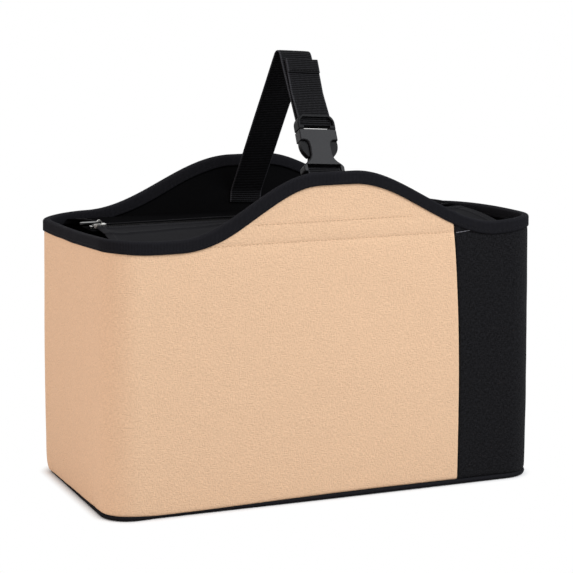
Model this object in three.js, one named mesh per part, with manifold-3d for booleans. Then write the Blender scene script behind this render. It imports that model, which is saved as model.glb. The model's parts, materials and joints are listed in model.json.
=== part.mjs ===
// A stroller organizer: a soft box with stiffened walls, a bound rim that rises to a crown at the
// front and the back, a zipped lid sunk below the rim, and a webbing strap over the lid that is
// closed by a side-release buckle. Millimetres, +Z up, the front wall towards -Y, the origin at
// the middle of the underside.
import * as THREE from "three";
import { mergeVertices } from "three/addons/utils/BufferGeometryUtils.js";
import Module from "manifold-3d";

const wasm = await Module();
wasm.setup();

// Driving dimensions of the box
const clearance = 0.3; // between pieces that touch
const bagLength = 350; // outside, at the base
const bagDepth = 178; // outside, at the base
const cornerRadius = 23; // upright corners, seen from above
const endLean = 2.2; // each end wall leans in this far between the base and the lid
const wallSpread = 1.7; // front and back walls lean out this far between the base and the lid
const shellThickness = 1;
const foamThickness = 2;
const liningThickness = 0.6;

// Rim line and its binding
const rimHeight = 204; // low stretches of the rim
const cornerRise = { front: [2, 2.4], back: [-2.6, -5.4] }; // from there to the left, right corners
const endBow = [-1.2, 1.8]; // the rim sags this much along the left end and bows up along the right
const cornerRun = 40; // length of the climb or fall to a corner
const frontCrownRise = 43.8; // from the low rim up to the front crown
const backCrownRise = 39;
const crownX = 3.6; // centre line of the rim's crowns
const crownFlat = 14; // half length of the level top of a crown
const crownReach = { front: [125, 134], back: [140, 128] }; // from there down to the low rim
const bindingThickness = 0.6;
const bindingWidth = 9.4; // how far the folded tape reaches down each face
const bindingShoulder = 1.4; // rounding of the fold over the rim

// Seams between the two shell panels
const seamFromEnd = 68.7; // from the right end to the seam, at the base
const seamSweep = 7.2; // the seam leans towards the middle by this much at the lid
const seamBendHeight = 58; // below this height the seam is straight
const seamAllowance = 20; // width of the folded fabric behind each seam

// Base
const pipingDiameter = 3.8;
const pipingLift = 0.5; // the piping stays just clear of the ground
const pipingInset = 1.6; // from the shell's face to the middle of the piping
const basePanelThickness = 1;
const boardThickness = 2;

// Lid
const lidDrop = 5.8; // from the low rim down to the lid, where it is sewn to the walls
const lidDome = 6; // how much higher the lid is at the zip
const lidLevel = 18; // half width of the level strip along the zip
const flapThickness = 1.2;
const flapEndGap = 25; // from each end of the bag to the flaps
const zipSlot = 12; // between the two flaps' free edges

// Zip
const tapeOverhang = 10; // the tapes run this far past the flaps
const tapeWidth = 12.5;
const tapeThickness = 0.5;
const chainGap = 1; // between the two rows of teeth
const chainWidth = 2;
const chainHeight = 1.4;
const stopLength = 2;
const sliderLength = 9.6;
const sliderWidth = 8.6;
const sliderPlate = 1.1;
const sliderWeb = 0.4;
const sliderNose = 2; // length of the cut corners of its plates
const sliderNoseInset = 1.4; // depth of those corners
const sliderParkInset = 9.5; // from the tapes' end to the slider, with the zip closed
const sliderFarInset = 36.5; // the same at the other end, with the zip open
const bailRadius = 2;
const bailThickness = 0.9;
const bailWidth = 1.6;
const pullLength = 15;
const pullWidth = 5.8;
const pullThickness = 1.2;
const pullNeck = 3; // length over which the pull widens from its arms

// Strap, its heights taken from the low rim
const strapX = 1.7; // centre line of the strap where it leans out
const strapLean = 3.6; // degrees that the strap and its buckle lean towards +X
const strapLeanRise = 14; // height about which they lean
const webbingWidth = 26.6;
const webbingThickness = 1.3;
const backLegFootRise = 0; // lowest sewn end of the strap on the back wall
const backLegBendRise = 9; // where the strap leaves the back wall
const backLegBendRadius = 10;
const crownFoldY = 5.4; // where the two legs' lines meet above the strap's fold
const crownFoldRise = 130.8;
const crownFoldRadius = 6.5;
const anchorFootRise = 8; // lowest sewn end of the short webbing on the front wall
const anchorBendRise = 26; // where that webbing leaves the front wall
const tailTopRise = 119; // free end of the strap
const hemLength = 12;
const tailSlant = 2.6; // sideways drift of the free end from the buckle to the hem
const tailLeaveRadius = 20; // bend of the free end as it leaves the buckle
const tailSettleRadius = 30; // bend where it settles on the front leg
const hemSink = 0.065; // how deep the turned hem sits in the webbing under it
const anchorWallRadius = 3; // bends of the short webbing at the wall, outer and inner layer
const anchorWallRadiusInner = 2;
const anchorCloseRadius = 6; // bend where its two layers part to go round the foot bar
const anchorWrap = 0.2; // radians that the loop closes in past half a turn at each side

// Buckle, in its own frame: x across, y up along the strap, z out of its front face
const buckleY = -63.9; // where the socket's foot is held
const buckleRise = 41.3; // the same place above the low rim
const buckleLean = 32.3; // degrees back from upright
const buckleThickness = 9;
const buckleEdge = 0.7; // bevel around the outlines
const railWidth = 1.6; // beside the eye that the webbing passes through
const cheekWidth = 2.8; // the same at the socket's foot
const waistHalfWidth = 8.4;
const socketWall = 1.8;
const socketSideWall = 2.5;
const cavityFloor = 9.5;
const socketFoot = -2.3;
const socketTop = 33;
const windowTop = 24;
const waistTop = 19;
const waistBottom = 12;
const footSlotTop = 3.8;
const footBarY = -0.5;
const footBarRadius = 1.5;
const footCorner = 1.5; // rounding of the foot's lower corners
const footShoulder = [1, 3.5]; // how far the flare has drawn in at its shoulder, and just past it
const flareRise = [2, 1.6, 4]; // heights of the flare below and above its shoulder
const waistEase = [0.8, 0.2]; // the flare still stands this far out of the waist
const windowEase = 4; // rounding of the side windows' upper corners
const bandChamfer = 0.8;
const plugTop = 45.3;
const plugTaper = [[0, 6.4], [0.5, 4.4], [1.4, 2.6], [3, 1], [5.2, 0]]; // below its top, drawn in
const eyeCut = [3, 3.3]; // cut upper corners of its eye, across and down
const plugGapHalfWidth = 10.8;
const topBarHeight = 2;
const topBarThickness = 2;
const ladderY = 39;
const ladderZ = -0.6;
const ladderRadius = 1.2;
const crossHeight = 2;
const tongueHalfWidth = 2;
const tongueTip = 18;
const prongPivotInset = 1.5; // from the gap's sides to the middle of a prong's root
const prongPivotY = 29.5;
const prongRootRadius = 1.2;
const prongTip = 11;
const catchInset = 0.3; // from the band's outside to the catch
const armStandOff = [0.4, 0.6, 0.8, 2]; // from the waist to the arm: at its top, low, at its tip
const armTipRound = 1; // rounding of the arm's tip
const catchBulge = [0.2, 3, 4]; // bulge of the catch, and how far from its ends it starts
const armRoot = [0.4, 1, 1.6]; // how the arm draws in from the band's bore towards its pivot

// Working allowances
const past = 1; // how far a cut runs past the faces that it opens
const bite = 0.1; // how deep two volumes of one piece run into each other
const barRoot = 0.5; // how deep the buckle's bars run into its cheeks

// Lengths, heights and depths that follow from them
const frontCrown = rimHeight + frontCrownRise;
const lidHeight = rimHeight - lidDrop;
const backLegFoot = rimHeight + backLegFootRise;
const backLegBend = rimHeight + backLegBendRise;
const crownFoldZ = rimHeight + crownFoldRise;
const anchorFoot = rimHeight + anchorFootRise;
const anchorBend = rimHeight + anchorBendRise;
const tailTop = rimHeight + tailTopRise;
const strapLeanZ = rimHeight + strapLeanRise;
const eyeHalfWidth = webbingWidth / 2 + clearance;
const bandHalfWidth = eyeHalfWidth + railWidth;
const footHalfWidth = eyeHalfWidth + cheekWidth;
const catchReach = bandHalfWidth - catchInset;
const prongPivotX = plugGapHalfWidth - prongPivotInset;
const buckleZ = rimHeight + buckleRise;
const seamX = bagLength / 2 - seamFromEnd;
const flapLength = bagLength - 2 * flapEndGap;
const tapeLength = flapLength + 2 * tapeOverhang;
const sliderCentre = -tapeLength / 2 + sliderParkInset;
const zipTravel = tapeLength - sliderParkInset - sliderFarInset;
const foamInset = shellThickness + clearance;
const liningInset = foamInset + foamThickness + clearance;
const wallThickness = liningInset + liningThickness;
const bindingOuter = -clearance - bindingThickness;
const bindingInner = wallThickness + clearance + bindingThickness;
const wallFoot = pipingLift + pipingDiameter + clearance;
const wallHead = bindingThickness + 2 * clearance; // from the rim line down to the wall's edge
const baseInset = pipingInset + pipingDiameter / 2 + clearance;
const tapeTop = lidHeight + lidDome - flapThickness - clearance;
const tapeHalfWidth = sliderWidth / 2 + clearance;
const plugShoulder = ladderY - ladderRadius - webbingThickness - 2 * clearance;
const chainFoot = tapeTop + clearance;
const chainOuter = chainGap / 2 + chainWidth;
const sliderFloor = tapeTop - tapeThickness - clearance;
const sliderRoof = chainFoot + chainHeight + clearance;

// Materials
const material = (color, roughness, metalness = 0) =>
  new THREE.MeshStandardMaterial({ color, roughness, metalness });
const tanFelt = material("#e2bf9c", 0.95);
const blackFabric = material("#1c1c1e", 0.9);
const blackTape = material("#222224", 0.8);
const lidFabric = material("#303033", 0.85);
const foamSheet = material("#8f8f8a", 1);
const boardPlastic = material("#4a4a4c", 0.7);
const webbing = material("#262628", 0.75);
const acetal = material("#3c3c3f", 0.4);
const coilPlastic = material("#1b1b1d", 0.5);
const nickel = material("#b9babd", 0.3, 1);

// A closed surface as a solid for cutting and joining, and back
function toSolid(geometry) {
  const bare = geometry.clone();
  bare.deleteAttribute("normal");
  bare.deleteAttribute("uv");
  const merged = mergeVertices(bare, 1e-4);
  return new wasm.Manifold(
    new wasm.Mesh({
      numProp: 3,
      vertProperties: merged.attributes.position.array,
      triVerts: new Uint32Array(merged.index.array),
    }),
  );
}

function toGeometry(solid) {
  const mesh = solid.getMesh();
  return new THREE.BufferGeometry()
    .setAttribute("position", new THREE.BufferAttribute(mesh.vertProperties, 3))
    .setIndex(new THREE.BufferAttribute(mesh.triVerts, 1));
}

function block(x0, x1, y0, y1, z0, z1) {
  const box = new THREE.BoxGeometry(x1 - x0, y1 - y0, z1 - z0);
  return box.translate((x0 + x1) / 2, (y0 + y1) / 2, (z0 + z1) / 2);
}

const solidBlock = (...sides) => toSolid(block(...sides));

function barAlongX(radius, halfLength, y, z) {
  const bar = new THREE.CylinderGeometry(radius, radius, 2 * halfLength, 16);
  return bar.rotateZ(Math.PI / 2).translate(0, y, z);
}

const vectors = (points) => points.map(([x, y]) => new THREE.Vector2(x, y));

function extruded(points, depth, options = {}) {
  const shape = new THREE.Shape(vectors(points));
  return new THREE.ExtrudeGeometry(shape, { depth, bevelEnabled: false, ...options });
}

// An outline in the upright plane across the bag, given as [y, z], run along X from x0 to x1
function acrossBag(points, x0, x1) {
  const geometry = extruded(points, x1 - x0);
  const axes = new THREE.Matrix4().makeBasis(
    new THREE.Vector3(0, 1, 0),
    new THREE.Vector3(0, 0, 1),
    new THREE.Vector3(1, 0, 0),
  );
  return geometry.applyMatrix4(axes).translate(x0, 0, 0);
}

// The rounded oblong that every wall follows, as places along it with their outward directions
function planStations(longSteps, endSteps, cornerSteps) {
  const stations = [];
  const straight = (from, to, nx, ny, steps) => {
    for (let i = 0; i < steps; i += 1) {
      const u = THREE.MathUtils.lerp(from[0], to[0], i / steps);
      const v = THREE.MathUtils.lerp(from[1], to[1], i / steps);
      stations.push({ u, v, nx, ny });
    }
  };
  const corner = (u, v, startAngle) => {
    for (let i = 0; i < cornerSteps; i += 1) {
      const angle = startAngle + ((i / cornerSteps) * Math.PI) / 2;
      stations.push({ u, v, nx: Math.cos(angle), ny: Math.sin(angle) });
    }
  };
  straight([-1, -1], [1, -1], 0, -1, longSteps);
  corner(1, -1, -Math.PI / 2);
  straight([1, -1], [1, 1], 1, 0, endSteps);
  corner(1, 1, 0);
  straight([1, 1], [-1, 1], 0, 1, longSteps);
  corner(-1, 1, Math.PI / 2);
  straight([-1, 1], [-1, -1], -1, 0, endSteps);
  corner(-1, -1, Math.PI);
  return stations;
}

const rimStations = planStations(40, 4, 6);
const baseStations = planStations(1, 1, 6);
const halfLengthAt = (z) => bagLength / 2 - (endLean * z) / lidHeight;
const halfDepthAt = (z) => bagDepth / 2 + (wallSpread * z) / lidHeight;
const innerFaceAt = (z) => halfDepthAt(z) - wallThickness;

function wallPoint({ u, v, nx, ny }, inset, z) {
  const x = u * (halfLengthAt(z) - cornerRadius) + nx * (cornerRadius - inset);
  const y = v * (halfDepthAt(z) - cornerRadius) + ny * (cornerRadius - inset);
  return [x, y, z];
}

// Height of the rim line over a place on the plan
function rimLine({ u, v, nx }) {
  const x = u * (bagLength / 2 - cornerRadius) + nx * cornerRadius;
  const end = x < crownX ? 0 : 1;
  const depth = (v + 1) / 2;
  const between = ({ front, back }) => THREE.MathUtils.lerp(front[end], back[end], depth);
  const away = (Math.abs(x - crownX) - crownFlat) / (between(crownReach) - crownFlat);
  const swell = (1 + Math.cos(Math.PI * THREE.MathUtils.clamp(away, 0, 1))) / 2;
  const crownRise = THREE.MathUtils.lerp(frontCrownRise, backCrownRise, depth);
  const endRise = between(cornerRise) + endBow[end] * 4 * depth * (1 - depth);
  const nearEnd = THREE.MathUtils.smoothstep(Math.abs(x), bagLength / 2 - cornerRun, bagLength / 2);
  return rimHeight + crownRise * swell + endRise * nearEnd;
}

// A band that closes on itself around the bag, its section given at each station
function band(stations, sectionAt) {
  const rings = stations.map(sectionAt);
  const size = rings[0].length;
  const index = [];
  rings.forEach((_, i) => {
    const next = (i + 1) % rings.length;
    for (let j = 0; j < size; j += 1) {
      const k = (j + 1) % size;
      index.push(i * size + j, next * size + k, next * size + j);
      index.push(i * size + j, i * size + k, next * size + k);
    }
  });
  return new THREE.BufferGeometry()
    .setAttribute("position", new THREE.Float32BufferAttribute(rings.flat(2), 3))
    .setIndex(index);
}

// A wall layer between two insets, from a foot height up to a distance below the rim line
function wallLayer(outer, inner, foot, belowRim) {
  return band(rimStations, (station) => {
    const head = rimLine(station) - belowRim;
    return [
      wallPoint(station, outer, foot),
      wallPoint(station, inner, foot),
      wallPoint(station, inner, head),
      wallPoint(station, outer, head),
    ];
  });
}

// A flat sheet with the bag's plan, drawn in by an inset
function planSheet(inset, z0, thickness) {
  const outline = baseStations.map((station) => wallPoint(station, inset, z0).slice(0, 2));
  return extruded(outline, thickness).translate(0, 0, z0);
}

// A line through corner points [y, z, radius], rounded at each inner corner as far as its sides
// leave room
function roundedLine(corners, arcSteps = 6) {
  const line = [corners[0].slice(0, 2)];
  for (let i = 1; i < corners.length - 1; i += 1) {
    const here = new THREE.Vector2(...corners[i]);
    const back = new THREE.Vector2(...corners[i - 1]).sub(here);
    const ahead = new THREE.Vector2(...corners[i + 1]).sub(here);
    const room = Math.min(back.length(), ahead.length()) / 2;
    back.normalize();
    ahead.normalize();
    const half = Math.acos(THREE.MathUtils.clamp(back.dot(ahead), -1, 1)) / 2;
    const radius = Math.min(corners[i][2], room * Math.tan(half));
    const centre = back.clone().add(ahead).normalize().multiplyScalar(radius / Math.sin(half));
    const start = back.clone().multiplyScalar(radius / Math.tan(half)).sub(centre);
    const turn = Math.sign(back.cross(ahead)) * (2 * half - Math.PI);
    for (let k = 0; k <= arcSteps; k += 1) {
      const spoke = start.clone().rotateAround(new THREE.Vector2(), (turn * k) / arcSteps);
      line.push([here.x + centre.x + spoke.x, here.y + centre.y + spoke.y]);
    }
  }
  line.push(corners.at(-1).slice(0, 2));
  return line;
}

// The outline of a strip of a given thickness that follows a line
function stripOutline(line, thickness) {
  const sides = [[], []];
  line.forEach(([y, z], i) => {
    const [y0, z0] = line[Math.max(i - 1, 0)];
    const [y1, z1] = line[Math.min(i + 1, line.length - 1)];
    const along = new THREE.Vector2(y1 - y0, z1 - z0).normalize();
    sides[0].push([y - (along.y * thickness) / 2, z + (along.x * thickness) / 2]);
    sides[1].unshift([y + (along.y * thickness) / 2, z - (along.x * thickness) / 2]);
  });
  return sides.flat();
}

const webbingStrip = (line) =>
  acrossBag(
    stripOutline(line, webbingThickness),
    strapX - webbingWidth / 2,
    strapX + webbingWidth / 2,
  );

// From the buckle's own frame to the bag's upright plane, as [y, z]
const lean = THREE.MathUtils.degToRad(90 - buckleLean);
const alongBuckle = (along, out) => [
  buckleY + along * Math.cos(lean) - out * Math.sin(lean),
  buckleZ + along * Math.sin(lean) + out * Math.cos(lean),
];

// Outer shell: one closed band cut in two along the curved seam
const seamAt = (z) => {
  const rise = Math.max(z - seamBendHeight, 0) / (lidHeight - seamBendHeight);
  return seamX - seamSweep * rise ** 2;
};

function beyondSeam(offset) {
  const far = bagLength;
  const top = frontCrown + bindingWidth;
  const edge = [[seamAt(0) + offset, -bindingWidth]];
  for (let z = seamBendHeight; z < top; z += (top - seamBendHeight) / 8) {
    edge.push([seamAt(z) + offset, z]);
  }
  edge.push([seamAt(top) + offset, top], [far, top], [far, -bindingWidth]);
  const cutter = extruded(edge, 2 * bagDepth).rotateX(Math.PI / 2);
  return toSolid(cutter.translate(0, bagDepth, 0));
}

const shell = toSolid(wallLayer(0, shellThickness, wallFoot, wallHead));
const tanShell = shell.subtract(beyondSeam(-clearance / 2));
const blackShell = shell.intersect(beyondSeam(clearance / 2));

// Foam stiffeners, one for each wall, and the folded fabric behind the two seams between them
const foamRing = toSolid(
  wallLayer(foamInset, foamInset + foamThickness, wallFoot, wallHead + clearance),
);

function foamBetween(x0, x1, y0, y1) {
  return foamRing.intersect(solidBlock(x0, x1, y0, y1, 0, frontCrown));
}

const endFoamX = bagLength / 2 - cornerRadius - 2 * endLean;
const allowanceX = seamX - seamSweep / 2;
const allowanceStart = allowanceX - seamAllowance / 2;
const allowanceEnd = allowanceX + seamAllowance / 2;

function wallFoams(y0, y1) {
  return {
    foam: foamBetween(-endFoamX + clearance, allowanceStart - clearance, y0, y1),
    allowance: foamBetween(allowanceStart, allowanceEnd, y0, y1),
  };
}

const frontWall = wallFoams(-bagDepth, 0);
const backWall = wallFoams(0, bagDepth);
const leftFoam = foamBetween(-bagLength, -endFoamX, -bagDepth, bagDepth);
const rightFoam = foamBetween(allowanceEnd + clearance, bagLength, -bagDepth, bagDepth);

// Lining: a closed band inside the foam, standing on the lining of the base
const boardFoot = basePanelThickness + clearance;
const baseLiningFoot = boardFoot + boardThickness + clearance;
const liningFoot = baseLiningFoot + liningThickness + clearance;
const lining = wallLayer(liningInset, wallThickness, liningFoot, wallHead + clearance);

// Binding: a tape folded over the rim, an upside-down U with rounded shoulders
function bindingSection(station) {
  const rim = rimLine(station);
  const shoulder = bindingShoulder;
  const at = (inset, down) => wallPoint(station, inset, rim - down);
  const t = bindingThickness;
  return [
    at(bindingOuter, bindingWidth),
    at(bindingOuter + t, bindingWidth),
    at(bindingOuter + t, shoulder + t / 2),
    at(bindingOuter + t + clearance, t + clearance / 2),
    at(bindingInner - t - clearance, t + clearance / 2),
    at(bindingInner - t, shoulder + t / 2),
    at(bindingInner - t, bindingWidth),
    at(bindingInner, bindingWidth),
    at(bindingInner, shoulder),
    at(bindingInner - shoulder / 3, shoulder / 3),
    at(bindingInner - shoulder, 0),
    at(bindingOuter + shoulder, 0),
    at(bindingOuter + shoulder / 3, shoulder / 3),
    at(bindingOuter, shoulder),
  ];
}

// Piping: a round cord in fabric along the lower edge
function pipingSection(station) {
  const sides = 10;
  const radius = pipingDiameter / 2;
  return Array.from({ length: sides }, (_, k) => {
    const angle = (2 * Math.PI * k) / sides;
    const inset = pipingInset + radius * Math.cos(angle);
    return wallPoint(station, inset, pipingLift + radius + radius * Math.sin(angle));
  });
}

// Lid: two domed flaps, one hinged at each long wall, with the zip between them
const flapRoot = innerFaceAt(lidHeight) - bindingThickness - 2 * clearance;

function lidTop(y) {
  const climb = THREE.MathUtils.clamp((flapRoot - Math.abs(y)) / (flapRoot - lidLevel), 0, 1);
  return lidHeight + lidDome * Math.sin((climb * Math.PI) / 2);
}

function lidFlap(side) {
  const steps = 10;
  const ys = Array.from({ length: steps + 1 }, (_, k) =>
    THREE.MathUtils.lerp(flapRoot, lidLevel, k / steps),
  ).concat(zipSlot / 2);
  const top = ys.map((y) => [side * y, lidTop(y)]);
  const under = top.map(([y, z]) => [y, z - flapThickness]).reverse();
  return acrossBag(top.concat(under), -flapLength / 2, flapLength / 2);
}

// Zip tapes, teeth and end stops. The front half leaves room where the slider is parked, so that
// the front flap lifts past it.
const sliderParks = [sliderCentre, sliderCentre + zipTravel];

function zipTape(side) {
  const [near, far] = [chainGap / 2, chainGap / 2 + tapeWidth];
  const [y0, y1] = side < 0 ? [-far, -near] : [near, far];
  const tape = solidBlock(
    -tapeLength / 2, tapeLength / 2, y0, y1, tapeTop - tapeThickness, tapeTop,
  );
  if (side > 0) return tape;
  return sliderParks.reduce((rest, x) => {
    const reach = sliderLength / 2 + clearance;
    return rest.subtract(
      solidBlock(x - reach, x + reach, -tapeHalfWidth, 0, sliderFloor, sliderRoof),
    );
  }, tape);
}

function zipChain(side) {
  const start = sliderCentre + sliderLength / 2 + clearance;
  const end = sliderCentre + zipTravel - sliderLength / 2 - clearance;
  const shoulder = chainHeight / 3;
  const outline = [
    [side * (chainGap / 2), chainFoot],
    [side * chainOuter, chainFoot],
    [side * chainOuter, chainFoot + chainHeight - shoulder],
    [side * (chainOuter - shoulder), chainFoot + chainHeight],
    [side * (chainGap / 2 + shoulder), chainFoot + chainHeight],
    [side * (chainGap / 2), chainFoot + chainHeight - shoulder],
  ];
  return acrossBag(outline, start, end);
}

function zipStop(side) {
  const end = sliderCentre - sliderLength / 2 - clearance;
  const [near, far] = [chainGap / 2, chainOuter];
  const [y0, y1] = side < 0 ? [-far, -near] : [near, far];
  return block(end - stopLength, end, y0, y1, chainFoot, chainFoot + chainHeight);
}

// Slider: two plates joined by a thin web, rims that guide the tape, and a bail on its back
function zipSlider() {
  const half = sliderLength / 2;
  const wide = sliderWidth / 2;
  const rimInner = chainOuter + clearance;
  const outline = [];
  const nose = wide - sliderNoseInset;
  const cheek = half - sliderNose;
  outline.push([-half, -nose], [-cheek, -wide], [cheek, -wide], [half, -nose]);
  outline.push([half, nose], [cheek, wide], [-cheek, wide], [-half, nose]);
  const plate = (z) => toSolid(extruded(outline, sliderPlate).translate(0, 0, z));
  const rims = plate(sliderRoof).add(
    toSolid(extruded(outline, sliderRoof - chainFoot).translate(0, 0, chainFoot)),
  );
  const channel = solidBlock(
    -half - past, half + past, -rimInner, rimInner, chainFoot - past, sliderRoof,
  );
  const web = solidBlock(
    -half, half / 2, -sliderWeb / 2, sliderWeb / 2, sliderFloor - bite, sliderRoof + bite,
  );
  const floor = plate(sliderFloor - sliderPlate);
  return toGeometry(rims.subtract(channel).add(floor).add(web).add(sliderBail()));
}

const sliderBack = sliderRoof + sliderPlate;
const pullBarRadius = bailRadius - bailThickness - clearance;
const pullAxisZ = sliderBack + clearance + pullBarRadius;

function sliderBail() {
  const arch = (radius) => {
    const points = [[-radius, sliderBack - clearance]];
    for (let k = 0; k <= 8; k += 1) {
      const angle = Math.PI * (1 - k / 8);
      points.push([radius * Math.cos(angle), pullAxisZ + radius * Math.sin(angle)]);
    }
    points.push([radius, sliderBack - clearance]);
    return points;
  };
  const inner = arch(bailRadius - bailThickness).reverse();
  const outline = arch(bailRadius).concat(inner);
  const bail = extruded(outline, bailWidth).rotateX(Math.PI / 2);
  return toSolid(bail.translate(0, bailWidth / 2, 0));
}

// Pull: a flat tab whose end bar turns under the bail
function zipPull() {
  const windowHalf = bailWidth / 2 + clearance;
  const neckHalf = windowHalf + pullThickness;
  const windowEnd = -bailRadius - 2 * clearance;
  const wide = pullWidth / 2;
  const outline = [
    [windowEnd, neckHalf],
    [windowEnd - pullNeck, wide],
    [-pullLength + wide, wide],
  ];
  for (let k = 0; k <= 6; k += 1) {
    const angle = Math.PI / 2 + (k / 6) * Math.PI;
    const x = -pullLength + wide + wide * Math.cos(angle);
    outline.push([x, wide * Math.sin(angle)]);
  }
  outline.push([-pullLength + wide, -wide], [windowEnd - pullNeck, -wide]);
  outline.push([windowEnd, -neckHalf]);
  const tab = toSolid(extruded(outline, pullThickness).translate(0, 0, -pullThickness / 2));
  const arm = (side) => {
    const [y0, y1] = side < 0 ? [-neckHalf, -windowHalf] : [windowHalf, neckHalf];
    const half = pullThickness / 2;
    return solidBlock(windowEnd - bite, pullBarRadius, y0, y1, -half, half);
  };
  const bar = new THREE.CylinderGeometry(pullBarRadius, pullBarRadius, 2 * neckHalf - bite, 12);
  return toGeometry(tab.add(arm(-1)).add(arm(1)).add(toSolid(bar)));
}

// Strap: the back leg is sewn to the back wall, the front leg turns round the plug's ladder bar,
// and the free end lies on the front leg
const wallGap = clearance + webbingThickness / 2;
const ladderTurn = ladderRadius + clearance + webbingThickness / 2;
const fold = [crownFoldY, crownFoldZ, crownFoldRadius];
const backLegCorners = [
  [innerFaceAt(backLegFoot) - wallGap, backLegFoot],
  [innerFaceAt(backLegBend) - wallGap, backLegBend, backLegBendRadius],
  fold,
];
const ladderEntry = alongBuckle(ladderY, ladderZ - ladderTurn);
const wholeLine = roundedLine([...backLegCorners, ladderEntry], 12);
const foldMiddle = wholeLine.length - 8;

function strapBackLeg() {
  return webbingStrip(wholeLine.slice(0, foldMiddle));
}

function strapFrontLeg() {
  const line = wholeLine.slice(foldMiddle);
  const [y0, z0] = wholeLine[foldMiddle - 1];
  const [y1, z1] = line[0];
  const step = Math.hypot(y1 - y0, z1 - z0);
  const gap = clearance / step;
  line.unshift([y0 + (y1 - y0) * gap, z0 + (z1 - z0) * gap]);
  for (let k = 1; k <= 8; k += 1) {
    const angle = (k / 8) * Math.PI;
    const along = ladderY - ladderTurn * Math.sin(angle);
    line.push(alongBuckle(along, ladderZ - ladderTurn * Math.cos(angle)));
  }
  return webbingStrip(line);
}

function strapTail() {
  const start = alongBuckle(ladderY + clearance, ladderZ + ladderTurn);
  const leave = alongBuckle(plugTop, ladderZ + ladderTurn);
  const layer = webbingThickness + clearance;
  const legEnd = wholeLine.at(-1);
  const legStart = wholeLine.at(-2);
  const up = new THREE.Vector2(legStart[0] - legEnd[0], legStart[1] - legEnd[1]).normalize();
  const besideLeg = (z) => {
    const along = (z - legEnd[1]) / up.y;
    return [legEnd[0] + up.x * along - up.y * layer, z + up.x * layer];
  };
  const top = besideLeg(tailTop);
  const hem = besideLeg(tailTop - hemLength * up.y);
  const settle = besideLeg((leave[1] + hem[1]) / 2);
  const ribbon = toSolid(
    webbingStrip(
      roundedLine([start, [...leave, tailLeaveRadius], [...settle, tailSettleRadius], top]),
    ),
  );
  const over = webbingThickness - hemSink;
  const turned = [hem, top].map(([y, z]) => [y - up.y * over, z + up.x * over]);
  const slanted = toGeometry(ribbon.add(toSolid(webbingStrip(turned))));
  const place = slanted.attributes.position;
  for (let i = 0; i < place.count; i += 1) {
    const rise = Math.max(place.getZ(i) - leave[1], 0) / (tailTop - leave[1]);
    place.setX(i, place.getX(i) + tailSlant * rise);
  }
  return slanted;
}

// Short webbing doubled round the socket's foot bar and sewn to the front wall
function frontAnchor() {
  const turn = footBarRadius + clearance + webbingThickness / 2;
  const layer = webbingThickness + clearance;
  const [barY, barZ] = alongBuckle(footBarY, 0);
  const wallY = (z) => -innerFaceAt(z) + wallGap;
  const rise = Math.atan2(barZ - anchorBend, barY - wallY(anchorBend));
  const around = (angle) => [barY + turn * Math.cos(angle), barZ + turn * Math.sin(angle)];
  const halfTurn = Math.PI / 2 + anchorWrap;
  const close = [barY - 4 * turn * Math.cos(rise), barZ - 4 * turn * Math.sin(rise)];
  const beside = ([y, z], side) => [
    y + (side * layer * Math.sin(rise)) / 2,
    z - (side * layer * Math.cos(rise)) / 2,
  ];
  const line = roundedLine([
    [wallY(anchorFoot), anchorFoot],
    [wallY(anchorBend), anchorBend + layer / 2, anchorWallRadius],
    [...beside(close, -1), anchorCloseRadius],
    around(rise + halfTurn),
  ]);
  const steps = 10;
  for (let k = 1; k <= steps; k += 1) {
    line.push(around(rise + halfTurn - (2 * halfTurn * k) / steps));
  }
  const home = roundedLine([
    around(rise - halfTurn),
    [...beside(close, 1), anchorCloseRadius],
    [wallY(anchorBend) + layer, anchorBend - layer / 2, anchorWallRadiusInner],
    [wallY(anchorFoot) + layer, anchorFoot],
  ]);
  return webbingStrip(line.concat(home.slice(1)));
}

// Buckle socket: a flat tube with cut-away sides, a flared foot and a bar for the short webbing
const mirrored = (half) => half.concat(half.map(([x, y]) => [-x, y]).reverse());
const halfThickness = buckleThickness / 2;

function buckleSlab(half) {
  const depth = buckleThickness - 2 * buckleEdge;
  const slab = extruded(mirrored(half), depth, {
    bevelEnabled: true,
    bevelThickness: buckleEdge,
    bevelSize: buckleEdge,
    bevelOffset: -buckleEdge,
    bevelSegments: 2,
  });
  return toSolid(slab.translate(0, 0, -depth / 2));
}

function socketOutline() {
  const path = new THREE.Path();
  const foot = footHalfWidth;
  const waist = waistHalfWidth;
  const shoulderY = footSlotTop;
  const [below, above, top] = flareRise;
  path.moveTo(0, socketFoot);
  path.lineTo(foot - footCorner, socketFoot);
  path.quadraticCurveTo(foot, socketFoot, foot, socketFoot + footCorner);
  path.lineTo(foot, shoulderY - below);
  path.quadraticCurveTo(foot - footShoulder[0], shoulderY, foot - footShoulder[1], shoulderY + above);
  path.quadraticCurveTo(waist + waistEase[0], shoulderY + top, waist + waistEase[1], waistBottom);
  path.lineTo(waist, waistTop);
  path.quadraticCurveTo(waist, windowTop, waist + windowEase, windowTop);
  path.lineTo(bandHalfWidth, windowTop);
  path.lineTo(bandHalfWidth, socketTop - bandChamfer);
  path.lineTo(bandHalfWidth - bandChamfer, socketTop);
  path.lineTo(0, socketTop);
  const points = path.getPoints(5).map(({ x, y }) => [x, y]);
  return points.slice(1, -1);
}

function buckleSocket() {
  const cavity = solidBlock(
    -bandHalfWidth + socketSideWall,
    bandHalfWidth - socketSideWall,
    cavityFloor,
    socketTop + past,
    -halfThickness + socketWall,
    halfThickness - socketWall,
  );
  const slot = solidBlock(
    -eyeHalfWidth, eyeHalfWidth, socketFoot - past, footSlotTop, -buckleThickness, buckleThickness,
  );
  const bar = toSolid(barAlongX(footBarRadius, eyeHalfWidth + barRoot, footBarY, 0));
  return toGeometry(buckleSlab(socketOutline()).subtract(cavity).subtract(slot).add(bar));
}

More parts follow.
